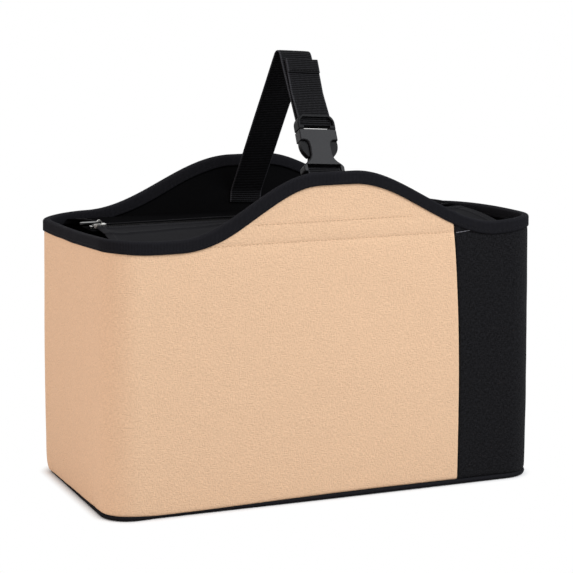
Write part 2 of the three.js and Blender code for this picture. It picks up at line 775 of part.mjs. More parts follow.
// Buckle plug: an open frame with a ladder bar, a cross piece in the socket's mouth and a tongue
function bucklePlug() {
  const foot = socketTop + clearance;
  const railInner = eyeHalfWidth;
  const frame = buckleSlab([
    [bandHalfWidth, foot],
    ...plugTaper.map(([inward, below]) => [bandHalfWidth - inward, plugTop - below]),
  ]);
  const through = (x, y0, y1, z0 = -buckleThickness, z1 = buckleThickness) =>
    solidBlock(-x, x, y0, y1, z0, z1);
  const barFoot = plugTop - topBarHeight;
  const [cutAcross, cutDown] = eyeCut;
  const eye = mirrored([
    [railInner, plugShoulder],
    [railInner, barFoot - cutDown],
    [railInner - cutAcross, barFoot],
  ]);
  const opening = toSolid(extruded(eye, 2 * buckleThickness).translate(0, 0, -buckleThickness));
  const gap = through(plugGapHalfWidth, foot - past, plugShoulder + bite);
  const behindBar = halfThickness - topBarThickness;
  const back = through(railInner, plugShoulder, plugTop + past, -buckleThickness, behindBar);
  const inner = halfThickness - socketWall - clearance;
  const crossHalf = bandHalfWidth - socketSideWall - clearance;
  const crossFoot = socketTop - crossHeight;
  const cross = through(crossHalf, crossFoot, socketTop, -inner, inner);
  const post = (side) => {
    const [x0, x1] = side < 0 ? [-crossHalf, -plugGapHalfWidth] : [plugGapHalfWidth, crossHalf];
    return solidBlock(x0, x1, socketTop - bite, foot + past, -inner, inner);
  };
  const tongue = through(tongueHalfWidth, tongueTip, crossFoot + bite, -inner, inner);
  const ladder = toSolid(barAlongX(ladderRadius, railInner + barRoot, ladderY, ladderZ));
  const cut = frame.subtract(opening).subtract(gap).subtract(back);
  return toGeometry(cut.add(cross).add(post(-1)).add(post(1)).add(tongue).add(ladder));
}

// A spring arm of the plug, with a catch that stands out under the socket's band
function prong(side) {
  const inner = halfThickness - socketWall - clearance;
  const catchTop = windowTop - clearance;
  const path = new THREE.Path();
  const bandLimit = bandHalfWidth - socketSideWall - clearance;
  path.moveTo(prongPivotX + prongRootRadius, prongPivotY);
  path.absarc(prongPivotX, prongPivotY, prongRootRadius, 0, Math.PI, false);
  const [high, low, corner, tip] = armStandOff.map((out) => waistHalfWidth + out);
  const [bulge, bulgeTop, bulgeFoot] = catchBulge;
  const [step, ease, rise] = armRoot;
  path.lineTo(high, catchTop);
  path.lineTo(low, prongTip + armTipRound);
  path.quadraticCurveTo(corner, prongTip, tip, prongTip);
  path.quadraticCurveTo(
    catchReach, prongTip + bulgeFoot, catchReach + bulge, catchTop - bulgeTop,
  );
  path.lineTo(catchReach, catchTop);
  path.lineTo(bandLimit - step, catchTop);
  path.lineTo(bandLimit - ease, catchTop + rise);
  const points = path.getPoints(6).map(({ x, y }) => [side * x, y]);
  return extruded(points, 2 * inner).translate(0, 0, -inner);
}

// Assembly
const organizer = new THREE.Group();

function add(name, geometry, finish, parent = organizer) {
  const mesh = new THREE.Mesh(geometry, finish);
  mesh.name = name;
  parent.add(mesh);
  return mesh;
}

add("tan_shell_panel", toGeometry(tanShell), tanFelt);
add("black_shell_panel", toGeometry(blackShell), blackFabric);
add("front_foam", toGeometry(frontWall.foam), foamSheet);
add("back_foam", toGeometry(backWall.foam), foamSheet);
add("left_end_foam", toGeometry(leftFoam), foamSheet);
add("right_end_foam", toGeometry(rightFoam), foamSheet);
add("front_seam_allowance", toGeometry(frontWall.allowance), blackFabric);
add("back_seam_allowance", toGeometry(backWall.allowance), blackFabric);
add("wall_lining", lining, lidFabric);
add("rim_binding", band(rimStations, bindingSection), blackTape);
add("base_panel", planSheet(baseInset, 0, basePanelThickness), blackFabric);
add("base_board", planSheet(baseInset, boardFoot, boardThickness), boardPlastic);
add("base_lining", planSheet(baseInset, baseLiningFoot, liningThickness), lidFabric);
add("base_piping", band(baseStations, pipingSection), blackTape);

const sides = { front: -1, back: 1 };
Object.entries(sides).forEach(([name, side]) => {
  add(`lid_${name}_flap`, lidFlap(side), lidFabric);
  add(`zip_tape_${name}`, toGeometry(zipTape(side)), blackTape);
  add(`zip_teeth_${name}`, zipChain(side), coilPlastic);
  add(`zip_stop_${name}`, zipStop(side), nickel);
});
add("zip_slider", zipSlider(), nickel).position.set(sliderCentre, 0, 0);
add("zip_pull", zipPull(), nickel).position.set(sliderCentre, 0, pullAxisZ);

// The strap and its buckle lean together about a level line at the sewn ends
const leaning = new THREE.Group();
leaning.position.set(strapX, 0, strapLeanZ);
leaning.rotation.y = THREE.MathUtils.degToRad(strapLean);
organizer.add(leaning);
const loop = new THREE.Group();
loop.position.set(-strapX, 0, -strapLeanZ);
leaning.add(loop);
add("strap_back_leg", strapBackLeg(), webbing, loop);
add("strap_front_leg", strapFrontLeg(), webbing, loop);
add("strap_tail", strapTail(), webbing, loop);
add("front_anchor_webbing", frontAnchor(), webbing, loop);

const buckle = new THREE.Group();
buckle.position.set(strapX, buckleY, buckleZ);
buckle.rotation.x = lean;
loop.add(buckle);
add("buckle_socket", buckleSocket(), acetal, buckle);
add("buckle_plug", bucklePlug(), acetal, buckle);
add("prong_left", prong(-1), acetal, buckle);
add("prong_right", prong(1), acetal, buckle);

export default organizer;
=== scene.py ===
"""A stroller organizer dressed for the eye: felt walls on foam, a bound rim, a zipped lid sunk
below it and a webbing strap closed by a side-release buckle."""

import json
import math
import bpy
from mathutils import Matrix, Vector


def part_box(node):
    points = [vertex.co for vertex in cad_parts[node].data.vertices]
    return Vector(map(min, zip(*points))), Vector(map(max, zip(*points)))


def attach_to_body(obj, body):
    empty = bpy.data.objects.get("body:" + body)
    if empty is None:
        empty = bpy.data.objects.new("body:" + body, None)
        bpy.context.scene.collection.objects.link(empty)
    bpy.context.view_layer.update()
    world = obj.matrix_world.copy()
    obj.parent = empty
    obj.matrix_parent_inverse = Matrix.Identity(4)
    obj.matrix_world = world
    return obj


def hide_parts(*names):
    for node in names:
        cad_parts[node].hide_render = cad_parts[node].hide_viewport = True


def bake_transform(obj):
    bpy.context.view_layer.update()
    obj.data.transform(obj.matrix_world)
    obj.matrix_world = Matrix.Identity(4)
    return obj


bl_info = {
    "name": "Stroller organizer",
    "version": (1, 0, 0),
    "blender": (4, 5, 0),
    "location": "View3D > Sidebar > Organizer",
    "description": "Builds the fabric, webbing, zip, buckle and stage of a stroller organizer",
    "category": "Add Mesh",
}

import bpy
from mathutils import Matrix, Vector, noise

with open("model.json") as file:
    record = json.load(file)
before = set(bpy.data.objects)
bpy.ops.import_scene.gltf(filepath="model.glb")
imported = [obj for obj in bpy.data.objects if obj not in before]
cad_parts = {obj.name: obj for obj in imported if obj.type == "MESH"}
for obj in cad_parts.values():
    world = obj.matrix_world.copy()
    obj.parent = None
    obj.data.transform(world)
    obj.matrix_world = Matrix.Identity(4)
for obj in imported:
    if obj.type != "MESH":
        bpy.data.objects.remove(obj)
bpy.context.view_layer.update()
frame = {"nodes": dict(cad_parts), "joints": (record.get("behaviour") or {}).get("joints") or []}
MM = 0.001


def linear(colour):
    """An sRGB hex colour as linear red, green and blue."""
    values = [int(colour[i : i + 2], 16) / 255 for i in (1, 3, 5)]
    return tuple(v / 12.92 if v <= 0.04045 else ((v + 0.055) / 1.055) ** 2.4 for v in values)


def clamp(value):
    return min(max(value, 0.0), 1.0)


def smoothstep(value, low, high):
    share = clamp((value - low) / (high - low))
    return share * share * (3 - 2 * share)


def lerp(a, b, share):
    return a + (b - a) * share


def between(a, b, steps):
    """Evenly spaced values from a to b, both included."""
    return [lerp(a, b, k / steps) for k in range(steps + 1)]


# Settings


def length(name, description, value):
    """A length property, its default given in millimetres."""
    return bpy.props.FloatProperty(
        name=name, description=description, default=value * MM, unit="LENGTH", precision=4
    )


def vector(name, description, value, **kind):
    return bpy.props.FloatVectorProperty(name=name, description=description, default=value, **kind)


def pair(name, description, left, right):
    """A length for the left and one for the right, their defaults given in millimetres."""
    return vector(name, description, (left * MM, right * MM), size=2, unit="LENGTH", precision=4)


def colour(name, description, value):
    """A colour property, its default given as an sRGB hex value."""
    return vector(name, description, linear(value), subtype="COLOR", size=3, min=0, max=1)


def number(name, description, value, **kind):
    return bpy.props.FloatProperty(name=name, description=description, default=value, **kind)


class OrganizerWalls(bpy.types.PropertyGroup):
    """Shape and colours of the box."""

    length: length("Length", "Outside length at the base", 350)
    depth: length("Depth", "Outside depth at the base", 178)
    corner: length("Corner radius", "Radius of the upright corners", 23)
    end_lean: length("End lean", "How far each end leans in up to the lid", 2.2)
    spread: length("Wall spread", "How far the long walls lean out up to the lid", 1.7)
    lid_height: length("Lid height", "Height of the seam that holds the lid", 198.2)
    rim: length("Low rim", "Height of the low stretches of the rim", 204)
    front_corners: pair("Front corners", "How much the rim climbs to the front corners", 2, 2.4)
    back_corners: pair("Back corners", "How much the rim climbs to the back corners", -2.6, -5.4)
    end_bow: pair("End bow", "How far the rim bows up along the middle of an end", -1.2, 1.8)
    front_crown: length("Front crown", "Top of the front wall", 247.8)
    back_crown: length("Back crown", "Top of the back wall", 243)
    crown_x: length("Crown centre", "Centre line of the crowns", 3.6)
    crown_flat: length("Crown flat", "Half length of the level top of a crown", 14)
    front_reach: pair("Front crown reach", "Half lengths of the front crown", 125, 134)
    back_reach: pair("Back crown reach", "Half lengths of the back crown", 140, 128)
    seam: length("Seam", "Where the tan and the black panel meet at the base", 107.2)
    seam_sweep: length("Seam sweep", "How far the seam leans over at the lid", 6.6)
    seam_bend: length("Seam bend", "Height where the seam starts to lean", 58)
    thickness: length("Wall thickness", "Shell, foam and lining together", 4.2)
    binding: length("Binding width", "How far the rim tape reaches down", 9.4)
    pillow: length("Pillow", "How far the foam swells the walls at mid height", 0.5)
    stitch: length("Stitch pitch", "Distance from one stitch to the next", 3)
    row_drop: length("Seam drop", "How far below the lid its row of stitches shows", 0.5)
    tan: colour("Tan felt", "Colour of the tan panel", "#e4c09e")
    black: colour("Black felt", "Colour of the black panel", "#19191b")
    # Black lining, set darker than the black felt: partly painted shade for the depth of the bag
    lining: colour("Lining", "Colour of the lining", "#060607")
    tape: colour("Rim tape", "Colour of the binding and the piping", "#1a1a1d")
    pale_thread: colour("Pale thread", "Thread of the lid seam where it crosses black", "#77777c")


class OrganizerLid(bpy.types.PropertyGroup):
    """Shape and colours of the lid and its zip."""

    reach: length("Half length", "Half length of the two flaps", 150)
    dome: length("Dome", "How much higher the lid is at the zip", 6)
    level: length("Level", "Half width of the level strip along the zip", 18)
    slot: length("Slot", "Distance between the flaps' free edges", 12)
    flare: pair("Flare", "Extra length of the front flap's left end, at the zip and the wall", 5, 14)
    cloth: length("Flap thickness", "Thickness of a flap", 1.2)
    tape_reach: length("Tape half length", "Half length of the zip tapes", 160)
    tape_width: length("Tape width", "Width of one zip tape", 12.5)
    pitch: length("Coil pitch", "Distance from one turn of the coil to the next", 1.7)
    fabric: colour("Front flap", "Colour of the front flap", "#1a1a1c")
    # The back flap is cut from the front flap's cloth; its darker colour is painted shade from the
    # back wall
    back_fabric_painted_shade: colour("Back flap", "Colour of the back flap, black as the lining", "#0b0b0c")
    zip_tape: colour("Zip tape", "Colour of the zip tapes", "#0c0c0d")


class OrganizerStrap(bpy.types.PropertyGroup):
    """Shape and colours of the strap and the buckle."""

    place: length("Strap centre", "Centre line of the strap where it leans out", 1.7)
    pivot: length("Lean height", "Height about which the strap leans", 218)
    lean: number("Strap lean", "How far it leans sideways", math.radians(3.6), subtype="ANGLE")
    width: length("Webbing width", "Width of the webbing", 26.6)
    thickness: length("Webbing thickness", "Thickness of the webbing", 1.3)
    rib: length("Rib pitch", "Distance from one cross rib to the next", 1.7)
    relief: length("Rib relief", "Height of a rib", 0.13)
    slant: length("Tail slant", "Sideways drift of the free end", 2.6)
    hem: length("Hem", "Length of the turned free end", 12)
    bevel: length("Buckle edge", "Rounding of the buckle's moulded edges", 0.45)
    webbing: colour("Webbing", "Colour of the strap", "#171719")
    plastic: colour("Buckle", "Colour of the buckle", "#1a1a1c")
    metal: colour("Zip metal", "Colour of the slider", "#cfcdc9")


class OrganizerStage(bpy.types.PropertyGroup):
    """Camera and light."""

    lens: number("Lens", "Focal length of the camera", 128.22, unit="CAMERA")
    place: vector(
        "Camera place",
        "Where the camera stands",
        (-0.6074, -1.4448, 0.4231),
        subtype="TRANSLATION",
        unit="LENGTH",
    )
    turn: vector(
        "Camera turn",
        "How the camera is turned",
        tuple(math.radians(a) for a in (80.046, 0, -22.843)),
        subtype="EULER",
        unit="ROTATION",
    )
    ambient: number("Ambient", "Strength of the even light from all round", 0.58, min=0)
    key: number("Key", "Power of the large lamp in front", 25, unit="POWER")
    fill: number("Fill", "Power of the lamp on the left", 12.5, unit="POWER")
    back: number("Back", "Power of the lamp behind and above", 11, unit="POWER")


def settings():
    scene = bpy.context.scene
    return scene.organizer_walls, scene.organizer_lid, scene.organizer_strap


# Materials


def add_node(tree, kind, inputs=None, **settings):
    """Adds a node with its settings. inputs holds values, or what to link from: a socket, or a
    node for its first output."""
    made = tree.nodes.new(kind)
    for name, value in settings.items():
        setattr(made, name, value)
    for key, value in (inputs or {}).items():
        socket = made.inputs[key]
        if isinstance(value, bpy.types.Node):
            value = value.outputs[0]
        if isinstance(value, bpy.types.NodeSocket):
            tree.links.new(value, socket)
        elif socket.type == "RGBA":
            socket.default_value = (*value, 1) if len(value) == 3 else value
        else:
            socket.default_value = value
    return made


def empty_tree(owner):
    """The node tree of a new material or world, with nothing in it."""
    owner.use_nodes = True
    owner.node_tree.nodes.clear()
    return owner.node_tree


def shaded(colour, factor):
    """A linear colour made darker or lighter by a factor."""
    return tuple(min(channel * factor, 1.0) for channel in colour)


def shades(colour, dark, light):
    return shaded(colour, dark), shaded(colour, light)


def surface(name, pattern, dark, light, relief, **shader):
    """A material that runs from dark to light. pattern(tree) gives that share and the height, or
    one value for both, and relief how deep the height goes. shader sets plain inputs."""
    material = bpy.data.materials.get(name)
    if material:
        return material
    material = bpy.data.materials.new(name)
    tree = empty_tree(material)
    drawn = pattern(tree)
    share, height = drawn if isinstance(drawn, tuple) else (drawn, drawn)
    hue = add_node(tree, "ShaderNodeMix", {0: share, 6: dark, 7: light}, data_type="RGBA")
    bump = add_node(tree, "ShaderNodeBump", {"Height": height, "Distance": relief})
    inputs = {"Base Color": hue.outputs[2], "Normal": bump}
    inputs |= {key.replace("_", " "): value for key, value in shader.items()}
    shade = add_node(tree, "ShaderNodeBsdfPrincipled", inputs)
    add_node(tree, "ShaderNodeOutputMaterial", {"Surface": shade})
    return material


def flecks(tree, size, stretch=(1, 1), detail=2.0, space="UV"):
    """Noise whose grains measure size, drawn out along either direction by stretch."""
    place = add_node(tree, "ShaderNodeTexCoord").outputs[space]
    scale = (1 / (size * stretch[0]), 1 / (size * stretch[1]), 1 / size)
    spread = add_node(tree, "ShaderNodeMapping", {"Vector": place, "Scale": scale})
    return add_node(tree, "ShaderNodeTexNoise", {"Vector": spread, "Scale": 1.0, "Detail": detail})


def threads(tree, pitch, turn=0.0, space="UV"):
    """A rounded ridge for each thread, from 0 to 1, a pitch apart along the turned X axis."""
    place = add_node(tree, "ShaderNodeTexCoord").outputs[space]
    turned = add_node(tree, "ShaderNodeMapping", {"Vector": place, "Rotation": (0, 0, turn)})
    inputs = {"Vector": turned, "Scale": math.tau / 20 / pitch}
    return add_node(tree, "ShaderNodeTexWave", inputs, bands_direction="X").outputs["Fac"]


def felt_fibres(tree):
    """Short fibres of needled felt, lying both ways. They are drawn 0.8 mm wide, some ten times
    coarser than they are, so that they show."""
    upright = flecks(tree, 0.8 * MM, (1, 3))
    level = flecks(tree, 0.8 * MM, (3, 1))
    crossed = add_node(tree, "ShaderNodeMix", {0: 0.5, 2: upright, 3: level})
    return add_node(tree, "ShaderNodeMapRange", {0: crossed, 1: 0.38, 2: 0.62})


def felt_tan(colour):
    # Needled polyester felt, heat pressed: matt, with short fibres that show as fine flecks, and
    # a faint mottle where the fibres lie closer.
    def pattern(tree):
        fibres = felt_fibres(tree)
        mottle = flecks(tree, 9 * MM, detail=3.0)
        return add_node(tree, "ShaderNodeMix", {0: 0.3, 2: fibres, 3: mottle}), fibres

    return surface(
        "needled_polyester_felt_tan", pattern, *shades(colour, 0.89, 1.11), 0.25 * MM,
        Roughness=0.95, Specular_IOR_Level=0.1, Sheen_Weight=0.05, Sheen_Roughness=0.5,
    )


def felt_black(colour):
    # The same needled felt dyed black: matt, its fibres catching a little grey light.
    return surface(
        "needled_polyester_felt_black", felt_fibres, *shades(colour, 0.45, 1.5), 0.3 * MM,
        Roughness=0.95, Specular_IOR_Level=0.05, Sheen_Weight=0.02, Sheen_Roughness=0.4,
    )


def plain_weave(name, colour, pitch, relief, **shader):
    # Woven polyester cloth: warp and weft cross in a fine check, with threads of uneven thickness
    # that catch the light in short dashes.
    def pattern(tree):
        warp = threads(tree, pitch)
        weft = threads(tree, pitch, math.pi / 2)
        cloth = add_node(tree, "ShaderNodeMix", {0: 0.5, 2: warp, 3: weft})
        uneven = flecks(tree, 2 * pitch, (1, 4))
        return add_node(tree, "ShaderNodeMix", {0: 0.4, 2: cloth, 3: uneven})

    return surface(name, pattern, *shades(colour, 0.65, 1.3), relief, **shader)


def lid_cloth(name, colour, shine):
    # Tightly woven 600-denier polyester, coated on its back and dull. Its 0.5 mm threads are
    # drawn at 0.9 mm so that they show.
    return plain_weave(name, colour, 0.9 * MM, 0.08 * MM, Roughness=0.9, Specular_IOR_Level=shine)


def lining_cloth(colour):
    # Thin plain-woven polyester taffeta, dull and black, darkened with painted shade for the depth
    # of the bag.
    finish = {"Roughness": 0.85, "Specular_IOR_Level": 0.05}
    return plain_weave("woven_polyester_lining_black", colour, 0.8 * MM, 0.06 * MM, **finish)


def binding_tape(colour):
    # Polyester grosgrain binding: 1.1 mm cords run across the tape, drawn as they are, so its
    # face is finely ridged.
    def pattern(tree):
        cords = threads(tree, 1.1 * MM)
        uneven = flecks(tree, 1.2 * MM, (1, 2))
        return add_node(tree, "ShaderNodeMix", {0: 0.45, 2: cords, 3: uneven})

    return surface(
        "polyester_grosgrain_binding_black", pattern, *shades(colour, 0.4, 1.7), 0.16 * MM,
        Roughness=0.85, Specular_IOR_Level=0.02,
    )


def zip_tape_cloth(colour):
    # Warp-knitted polyester zip tape with a herringbone ground, dull black.
    def pattern(tree):
        left, right = (threads(tree, 0.9 * MM, math.radians(turn)) for turn in (50, -50))
        return add_node(tree, "ShaderNodeMix", {0: 0.5, 2: left, 3: right})

    return surface(
        "knitted_polyester_zip_tape_black", pattern, *shades(colour, 0.7, 1.4), 0.06 * MM,
        Roughness=0.9, Specular_IOR_Level=0.0,
    )


def webbing_cloth(strap):
    # Woven nylon webbing: the cross ribs are modelled, and the colour between them is darkened as
    # painted shade.
    # Short slanted floats of the warp yarns break each rib up, and the tighter selvedges get a
    # painted highlight.
    def pattern(tree):
        floats = threads(tree, 1.0 * MM, math.radians(12))
        uneven = flecks(tree, 0.7 * MM, (2, 1))
        height = add_node(tree, "ShaderNodeMix", {0: 0.5, 2: floats, 3: uneven})
        place = add_node(tree, "ShaderNodeTexCoord").outputs["UV"]
        across = add_node(tree, "ShaderNodeSeparateXYZ", {0: place})
        aside = add_node(tree, "ShaderNodeMath", {0: across}, operation="ABSOLUTE")
        # Painted highlight: the colour lightens along both selvedges
        edge = strap.width / 2
        limits = {0: aside, 1: edge - 1.3 * MM, 2: edge - 0.5 * MM, 3: 0.0, 4: 1.0}
        painted_selvedge_highlight = add_node(tree, "ShaderNodeMapRange", limits)
        # Painted shade: the colour darkens in the grooves between the modelled ribs
        grooves = threads(tree, strap.rib, math.pi / 2)
        lit = add_node(tree, "ShaderNodeMath", {0: height, 1: painted_selvedge_highlight}, operation="ADD")
        return add_node(tree, "ShaderNodeMath", {0: lit, 1: grooves}, operation="SUBTRACT"), height

    return surface(
        "woven_nylon_webbing_black", pattern, *shades(strap.webbing, 0.05, 4), 0.1 * MM,
        Roughness=0.8, Specular_IOR_Level=0.06,
    )


def thread_yarn(shade, colour):
    # Twisted polyester sewing thread: round and dull, with slanted plies.
    def plies(tree):
        return flecks(tree, 0.4 * MM, detail=1.0, space="Object")

    return surface(
        f"twisted_polyester_thread_{shade}", plies, *shades(colour, 0.8, 1.2), 0.05 * MM,
        Roughness=0.6, Specular_IOR_Level=0.06,
    )


def coil_nylon():
    # Nylon monofilament coil, dyed black: smooth, with faint draw marks along the filament.
    def drawn(tree):
        return flecks(tree, 0.5 * MM, (1, 4), space="Object")

    dark, light = linear("#060607"), linear("#101011")
    return surface(
        "nylon_monofilament_coil_black", drawn, dark, light, 0.02 * MM,
        Roughness=0.5, Specular_IOR_Level=0.03,
    )


def moulded_acetal(name, colour, shine):
    # Acetal, injection moulded in a spark-eroded tool: a fine even grain spreads the highlight
    # into a satin grey. The grain of about 0.05 mm is drawn at 0.35 mm so that it shows. How
    # much light it mirrors differs with the grain of the tool.
    def pattern(tree):
        grain = flecks(tree, 0.35 * MM, detail=1.0, space="Object")
        flow = flecks(tree, 7 * MM, detail=1.0, space="Object")
        return add_node(tree, "ShaderNodeMix", {0: 0.5, 2: grain, 3: flow}), grain

    return surface(
        name, pattern, *shades(colour, 0.88, 1.12), 0.025 * MM,
        Roughness=0.42, IOR=1.48, Specular_IOR_Level=shine,
    )


def plated_zinc(name, colour, roughness):
    # Die-cast zinc, tumbled and plated: bright, with the slight ripple that tumbling leaves.
    def ripple(tree):
        return flecks(tree, 1.5 * MM, detail=1.0, space="Object")

    dark, light = shades(colour, 0.92, 1.05)
    return surface(name, ripple, dark, light, 0.03 * MM, Metallic=1.0, Roughness=roughness)


def foam_sheet():
    # Closed-cell polyethylene foam: dull grey with fine round cells.
    def cells(tree):
        place = add_node(tree, "ShaderNodeTexCoord").outputs["Object"]
        inputs = {"Vector": place, "Scale": 1 / (1.2 * MM)}
        return add_node(tree, "ShaderNodeTexVoronoi", inputs).outputs["Distance"]

    dark, light = linear("#7d7d78"), linear("#a09f99")
    return surface("polyethylene_foam_grey", cells, dark, light, 0.2 * MM, Roughness=1.0)


def board_plastic():
    # Extruded polypropylene board: waxy, with faint flutes from the die.
    def pattern(tree):
        flutes = threads(tree, 4 * MM, space="Object")
        grain = flecks(tree, 0.6 * MM, space="Object")
        return add_node(tree, "ShaderNodeMix", {0: 0.3, 2: flutes, 3: grain})

    name, dark, light = "extruded_polypropylene_board_grey", linear("#434345"), linear("#505053")
    return surface(name, pattern, dark, light, 0.1 * MM, Roughness=0.5)


# Shapes

# Length of a long wall over which the rim climbs to its corner
CORNER_RUN = 40 * MM
# How much each slope of a crown is drawn away from a plain cosine, left and right
SLOPE_EASE = (0, 0.014)
# Space between two layers of cloth
CLEAR = 0.3 * MM


def half_length(w, z):
    return w.length / 2 - w.end_lean * z / w.lid_height


def half_depth(w, z):
    return w.depth / 2 + w.spread * z / w.lid_height


def inner_face(w, z):
    return half_depth(w, z) - w.thickness


def wall_place(w, station, inset, z):
    """A point of the wall, an inset in from the shell's face, at a height."""
    u, v, nx, ny = station
    x = u * (half_length(w, z) - w.corner) + nx * (w.corner - inset)
    y = v * (half_depth(w, z) - w.corner) + ny * (w.corner - inset)
    return Vector((x, y, z))


def rim_at(w, x, v):
    """Height of the rim line; v runs from -1 at the front wall to 1 at the back."""
    end = 0 if x < w.crown_x else 1
    depth = (v + 1) / 2
    reach = lerp(w.front_reach[end], w.back_reach[end], depth)
    away = clamp((abs(x - w.crown_x) - w.crown_flat) / (reach - w.crown_flat))
    swell = (1 + math.cos(math.pi * away)) / 2
    swell -= SLOPE_EASE[end] * math.sin(math.tau * away) * math.sin(math.pi * away)
    crown = lerp(w.front_crown, w.back_crown, depth)
    climb = lerp(w.front_corners[end], w.back_corners[end], depth)
    climb += w.end_bow[end] * 4 * depth * (1 - depth)
    near_end = smoothstep(abs(x), w.length / 2 - CORNER_RUN, w.length / 2)
    return w.rim + (crown - w.rim) * swell + climb * near_end


def station_rim(w, station):
    u, v, nx, _ = station
    return rim_at(w, u * (w.length / 2 - w.corner) + nx * w.corner, v)


def plan(long_steps, end_steps, corner_steps):
    """The rounded oblong that the walls follow, as stations (u, v, nx, ny)."""
    corners = [(-1, -1), (1, -1), (1, 1), (-1, 1)]
    normals = [(0, -1), (1, 0), (0, 1), (-1, 0)]
    stations = []
    for k, (start, normal) in enumerate(zip(corners, normals)):
        end = corners[(k + 1) % 4]
        steps = end_steps if k % 2 else long_steps
        for i in range(steps):
            u = lerp(start[0], end[0], i / steps)
            v = lerp(start[1], end[1], i / steps)
            stations.append((u, v, *normal))
        for i in range(corner_steps):
            angle = (k - 1 + i / corner_steps) * math.pi / 2
            stations.append((*end, math.cos(angle), math.sin(angle)))
    return stations


def waver(x, z, size, amount, seed=0.0):
    """A soft unevenness of the cloth, about size across and amount deep."""
    return amount * noise.noise(Vector((x / size, z / size, seed)))


def mesh_object(name, points, faces, material, slot, uvs=None):
    """A smooth-shaded object; uvs holds a pair for each corner of each face, in metres."""
    uvs = uvs or [(0, 0)] * sum(len(face) for face in faces)
    mesh = bpy.data.meshes.new(name)
    mesh.from_pydata(points, [], faces)
    layer = mesh.uv_layers.new(name="UVMap")
    layer.data.foreach_set("uv", [value for pair in uvs for value in pair])
    mesh.polygons.foreach_set("use_smooth", [True] * len(mesh.polygons))
    mesh.materials.append(material)
    mesh.validate()
    made = bpy.data.objects.new(name, mesh)
    bpy.context.scene.collection.objects.link(made)
    return made


def grid_object(name, rows, uv_at, material, slot, ring=False, loop=False, caps=False):
    """A surface through rows of points. With ring each row closes on itself, and with loop the
    last row joins the first. uv_at(i, j) gives a corner's place on the flat cloth."""
    height, width = len(rows), len(rows[0])
    points = [point for row in rows for point in row]
    faces, uvs = [], []
    for i in range(height if loop else height - 1):
        for j in range(width if ring else width - 1):
            corners = [(i, j), (i, j + 1), (i + 1, j + 1), (i + 1, j)]
            faces.append([(a % height) * width + b % width for a, b in corners])
            uvs.extend(uv_at(a, b) for a, b in corners)
    if caps:
        for i, order in ((0, range(width - 1, -1, -1)), (height - 1, range(width))):
            faces.append([i * width + j for j in order])
            uvs.extend(uv_at(i, j) for j in order)
    return mesh_object(name, points, faces, material, slot, uvs)


def level_cloth(name, rows, material, slot):
    """A level cloth with both its faces, through rings of points, seen from above for its UVs."""

    def uv_at(i, j):
        point = rows[i][j % len(rows[0])]
        return point.x, point.y

    return grid_object(name, rows, uv_at, material, slot, ring=True, caps=True)


def attach(made, body, *nodes):
    """Hides the solids of the model that a piece takes the place of, and sets it on the body it
    rides on.
    """
    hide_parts(*nodes)
    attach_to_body(made, body)


def band_object(name, rows, middle, across, material, slot, node, ring=False):
    """A band all round the bag, through rows that cut across it. Its length is measured along
    its middle point, and across gives the place of each point over its width."""
    distances = travelled([row[middle] for row in rows + rows[:1]])

    def uv_at(i, j):
        return distances[i], across[j]

    made = grid_object(name, rows, uv_at, material, slot, ring=ring, loop=True)
    attach(made, "bag", node)


def add_tube(points, faces, rings, flip=False):
    """Adds a short open tube through rings of as many points each."""
    sides = len(rings[0])
    for i in range(len(rings) - 1):
        low = len(points) + i * sides
        for side in range(sides):
            after = (side + 1) % sides
            face = [low + side, low + sides + side, low + sides + after, low + after]
            faces.append(face[::-1] if flip else face)
    points.extend(point for ring in rings for point in ring)


def travelled(points):
    """Distance from the first point to each point."""
    total, distances = 0.0, [0.0]
    for a, b in zip(points, points[1:]):
        total += (b - a).length
        distances.append(total)
    return distances


def stretches(distances, targets):
    """For each target distance the stretch of a line that holds it, and its share of that."""
    spot = 0
    for target in targets:
        while spot < len(distances) - 2 and distances[spot + 1] < target:
            spot += 1
        yield spot, (target - distances[spot]) / max(distances[spot + 1] - distances[spot], 1e-9)


def stitch_object(name, paths, material, slot, pitch, size=0.24 * MM, share=0.78):
    """Rows of stitches. Each path is a list of (point, outward normal); a stitch is a short
    thread that rises out of one hole and sinks into the next."""
    points, faces = [], []
    rings, sides = 5, 6
    angles = [math.tau * side / sides for side in range(sides)]
    for path in paths:
        distances = travelled([point for point, _ in path])
        count = max(int(distances[-1] / pitch), 1)
        middles = [(k + 0.5) * distances[-1] / count for k in range(count)]
        for spot, part in stretches(distances, middles):
            (a, out_a), (b, out_b) = path[spot], path[spot + 1]
            centre = a.lerp(b, part)
            ahead = (b - a).normalized()
            out = out_a.lerp(out_b, part).normalized()
            aside = ahead.cross(out).normalized()
            tube = []
            for ring in range(rings):
                t = 2 * ring / (rings - 1) - 1
                arch = 1 - t * t
                radius = size * (0.45 + 0.55 * math.sqrt(arch))
                heart = centre + ahead * (t * pitch * share / 2) + out * size * (arch - 0.6)
                spokes = [aside * math.cos(angle) + out * math.sin(angle) for angle in angles]
                tube.append([heart + spoke * radius for spoke in spokes])
            first = len(points)
            add_tube(points, faces, tube)
            faces.append(list(range(first, first + sides)))
            faces.append(list(range(len(points) - 1, len(points) - 1 - sides, -1)))
    return mesh_object(name, points, faces, material, slot)


def finish_node(name, material, bevel=0.0):
    """Gives a solid of the model its material and, if asked, rounded moulded edges."""
    piece = frame["nodes"][name]
    piece.data.materials.clear()
    piece.data.materials.append(material)
    if bevel:
        flat = piece.modifiers.new("Flat faces", "DECIMATE")
        flat.decimate_type = "DISSOLVE"
        flat.angle_limit = math.radians(4)
        edge = piece.modifiers.new("Edges", "BEVEL")
        edge.width = bevel
        edge.segments = 3
        edge.limit_method = "ANGLE"
        edge.angle_limit = math.radians(32)
        edge.use_clamp_overlap = True
        edge.harden_normals = True
        piece.data.polygons.foreach_set("use_smooth", [True] * len(piece.data.polygons))


# Walls

